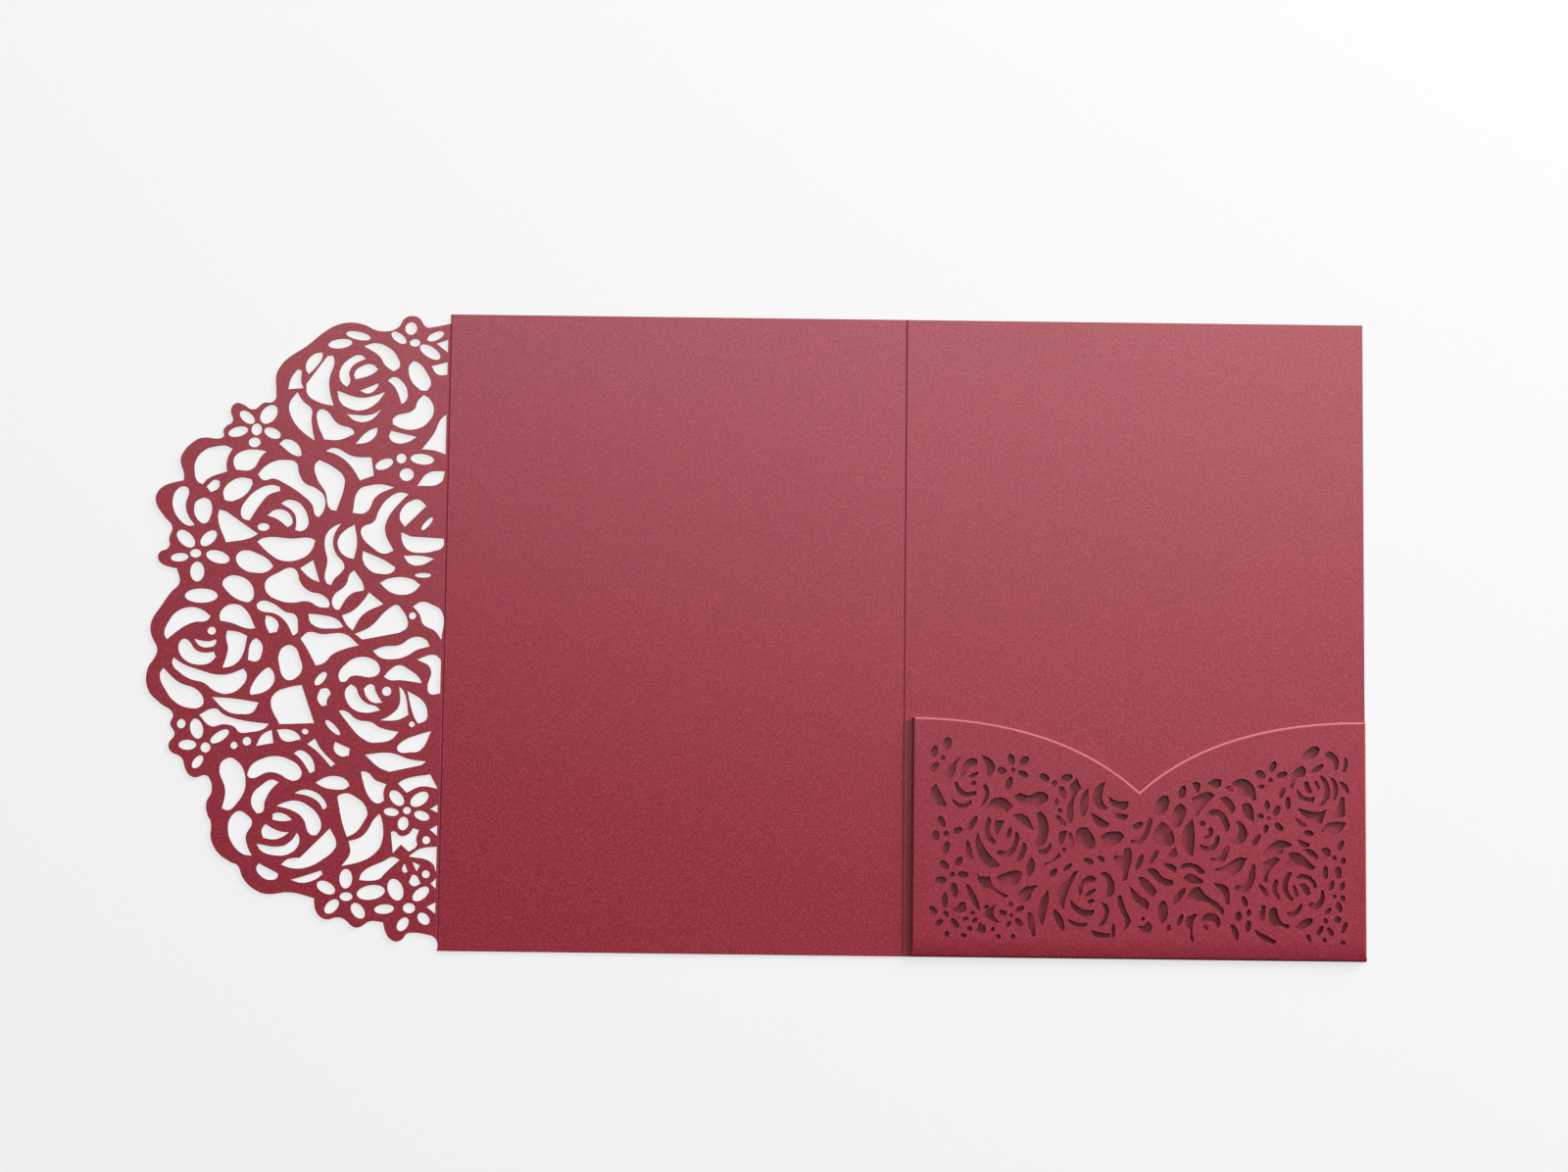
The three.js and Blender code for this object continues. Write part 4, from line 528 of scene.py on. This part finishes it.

# %% [markdown]
# ## Cut edges
# A laser browns the wall of every opening. The mouth of the pocket gets a pale pink, a painted
# highlight where its cut edge catches the light. In a score the pearl is pressed dull, and its dark
# colour is painted shade. None of them shines, so plain values are enough.

# %% Mix the edge finishes
BURNT_BROWN = (0.1, 0.016, 0.026, 1)
# Pale pink of the painted highlight along the pocket's mouth.
HIGHLIGHT_PINK = (0.72, 0.2, 0.24, 1)
# Dark red of the painted shade in the scores.
SCORE_SHADE_RED = (0.25, 0.02, 0.035, 1)
DULL = 0.8
HIGHLIGHT_ROUGHNESS = 0.6

burnt, _, _ = principled("burnt_edge", BURNT_BROWN, DULL, 0.0)
painted_highlight, _, _ = principled("painted_highlight_edge", HIGHLIGHT_PINK, HIGHLIGHT_ROUGHNESS, 0.0)
score_shade, _, _ = principled("score_painted_shade", SCORE_SHADE_RED, DULL, 0.0)
finishes = (pearl, burnt, painted_highlight, score_shade)
print("finishes", [material.name for material in finishes])

# %% [markdown]
# ## Pieces
# Each mesh becomes an object with all four finishes, in the order of the slot numbers above. It is
# smooth where its faces meet at under 12 degrees, so the folds look round and the rims of the cuts
# stay crisp. Every piece rides with the one body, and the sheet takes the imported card's place.

# %% Finish the pieces
SMOOTH_LIMIT = math.radians(12)


def finished(name, bm):
    """The bmesh as an object with all four finishes, that rides with the card."""
    mesh = bpy.data.meshes.new(name)
    bm.to_mesh(mesh)
    bm.free()
    mesh.shade_smooth()
    mesh.set_sharp_from_angle(angle=SMOOTH_LIMIT)
    for material in finishes:
        mesh.materials.append(material)
    piece = bpy.data.objects.new(name, mesh)
    bpy.context.scene.collection.objects.link(piece)
    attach(piece, "root")
    return piece


sheet_piece = finished("flap_and_panels", sheet)
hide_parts("card")
finished("pocket_front", front)
# The ribbon of painted highlight along the pocket's mouth.
finished("pocket_rim_highlight", rim)
finished("pocket_foot", foot_fold)
finished("pocket_left_side", left_side)
finished("pocket_right_side", right_side)
print("finished", len(sheet_piece.data.polygons), "faces in the sheet")

# %% [markdown]
# ## Table
# The card lies on a plain pale table, set a fifth of a millimetre below it, because two faces at one
# height would fight for the same pixels. The table glows for the camera alone, so it looks nearly
# white and yet takes a soft shadow.

# %% Set the table
FLOOR_SIZE = 6.0
FLOOR_DROP = 0.2 * MM
FLOOR_GREY = (0.8, 0.8, 0.8, 1)
FLOOR_ROUGHNESS = 0.9
FLOOR_GLOW = 0.97
FLOOR_GLOW_SHARE = 0.75
WHITE = (1, 1, 1, 1)

bpy.ops.mesh.primitive_plane_add(size=FLOOR_SIZE, location=(0, 0, cad_low.z - FLOOR_DROP))
floor = bpy.context.active_object
floor.name = "table_top"
floor_material, floor_shader, floor_tree = principled("pale_table", FLOOR_GREY, FLOOR_ROUGHNESS, 0.0)
glow = floor_tree.nodes.new("ShaderNodeEmission")
glow.inputs["Color"].default_value = WHITE
glow.inputs["Strength"].default_value = FLOOR_GLOW
seen = floor_tree.nodes.new("ShaderNodeLightPath")
share = floor_tree.nodes.new("ShaderNodeMath")
share.operation = "MULTIPLY"
share.inputs[1].default_value = FLOOR_GLOW_SHARE
blend = floor_tree.nodes.new("ShaderNodeMixShader")
floor_tree.links.new(seen.outputs["Is Camera Ray"], share.inputs[0])
floor_tree.links.new(share.outputs["Value"], blend.inputs["Fac"])
floor_tree.links.new(floor_shader.outputs["BSDF"], blend.inputs[1])
floor_tree.links.new(glow.outputs["Emission"], blend.inputs[2])
floor_tree.links.new(blend.outputs["Shader"], floor_tree.nodes["Material Output"].inputs["Surface"])
floor.data.materials.append(floor_material)
print("table is", FLOOR_SIZE, "m wide")

# %% [markdown]
# ## Light
# A lamp beyond the card's top edge is nearly mirrored there, so the pearl shines most near the top.
# A broad low lamp from the upper right skims the front of the pocket and hardly reaches through its
# openings, which keeps them dark, and its shadow falls down and to the left. Weak white
# surroundings fill the rest.

# %% Hang the lamps
WORLD_STRENGTH = 0.05
UPPER_LAMP = {"place": (0.085, 0.5, 0.6), "size": 1.0, "power": 4.0}
LOW_RIGHT_LAMP = {"place": (1.5, 1.25, 0.6), "size": 0.9, "power": 84.0}

world = bpy.data.worlds.new("studio")
bpy.context.scene.world = world
world.use_nodes = True
surroundings = world.node_tree.nodes["Background"]
surroundings.inputs["Color"].default_value = WHITE
surroundings.inputs["Strength"].default_value = WORLD_STRENGTH


def area_lamp(name, place, size, power):
    """A square lamp that faces the middle of the card."""
    lamp = bpy.data.lights.new(name, "AREA")
    lamp.size = size
    lamp.energy = power
    holder = bpy.data.objects.new(name, lamp)
    aim = (-Vector(place)).to_track_quat("-Z", "Y").to_matrix().to_4x4()
    holder.matrix_world = Matrix.Translation(place) @ aim
    bpy.context.scene.collection.objects.link(holder)


area_lamp("upper_lamp", **UPPER_LAMP)
area_lamp("low_right_lamp", **LOW_RIGHT_LAMP)
print("lit by", UPPER_LAMP["power"], "and", LOW_RIGHT_LAMP["power"], "watts")

# %% [markdown]
# ## Camera
# The photograph was taken from almost straight above, with a normal lens about 60 cm away. The
# camera's place and its slight turn were solved from the four corners of the two panels.

# %% Place the camera
CAMERA_PLACE = (6.77 * MM, -27.66 * MM, 615.1 * MM)
CAMERA_TURN = (3.83, -0.12, 0.69)
LENS_MM = 50
SENSOR_MM = 36

camera_data = bpy.data.cameras.new("camera")
camera_data.lens = LENS_MM
camera_data.sensor_width = SENSOR_MM
camera = bpy.data.objects.new("camera", camera_data)
camera.location = CAMERA_PLACE
camera.rotation_euler = [math.radians(turn) for turn in CAMERA_TURN]
bpy.context.scene.collection.objects.link(camera)
bpy.context.scene.camera = camera
bpy.context.scene.view_settings.view_transform = "Standard"
print("camera stands", round(CAMERA_PLACE[2] / MM), "mm above the card")
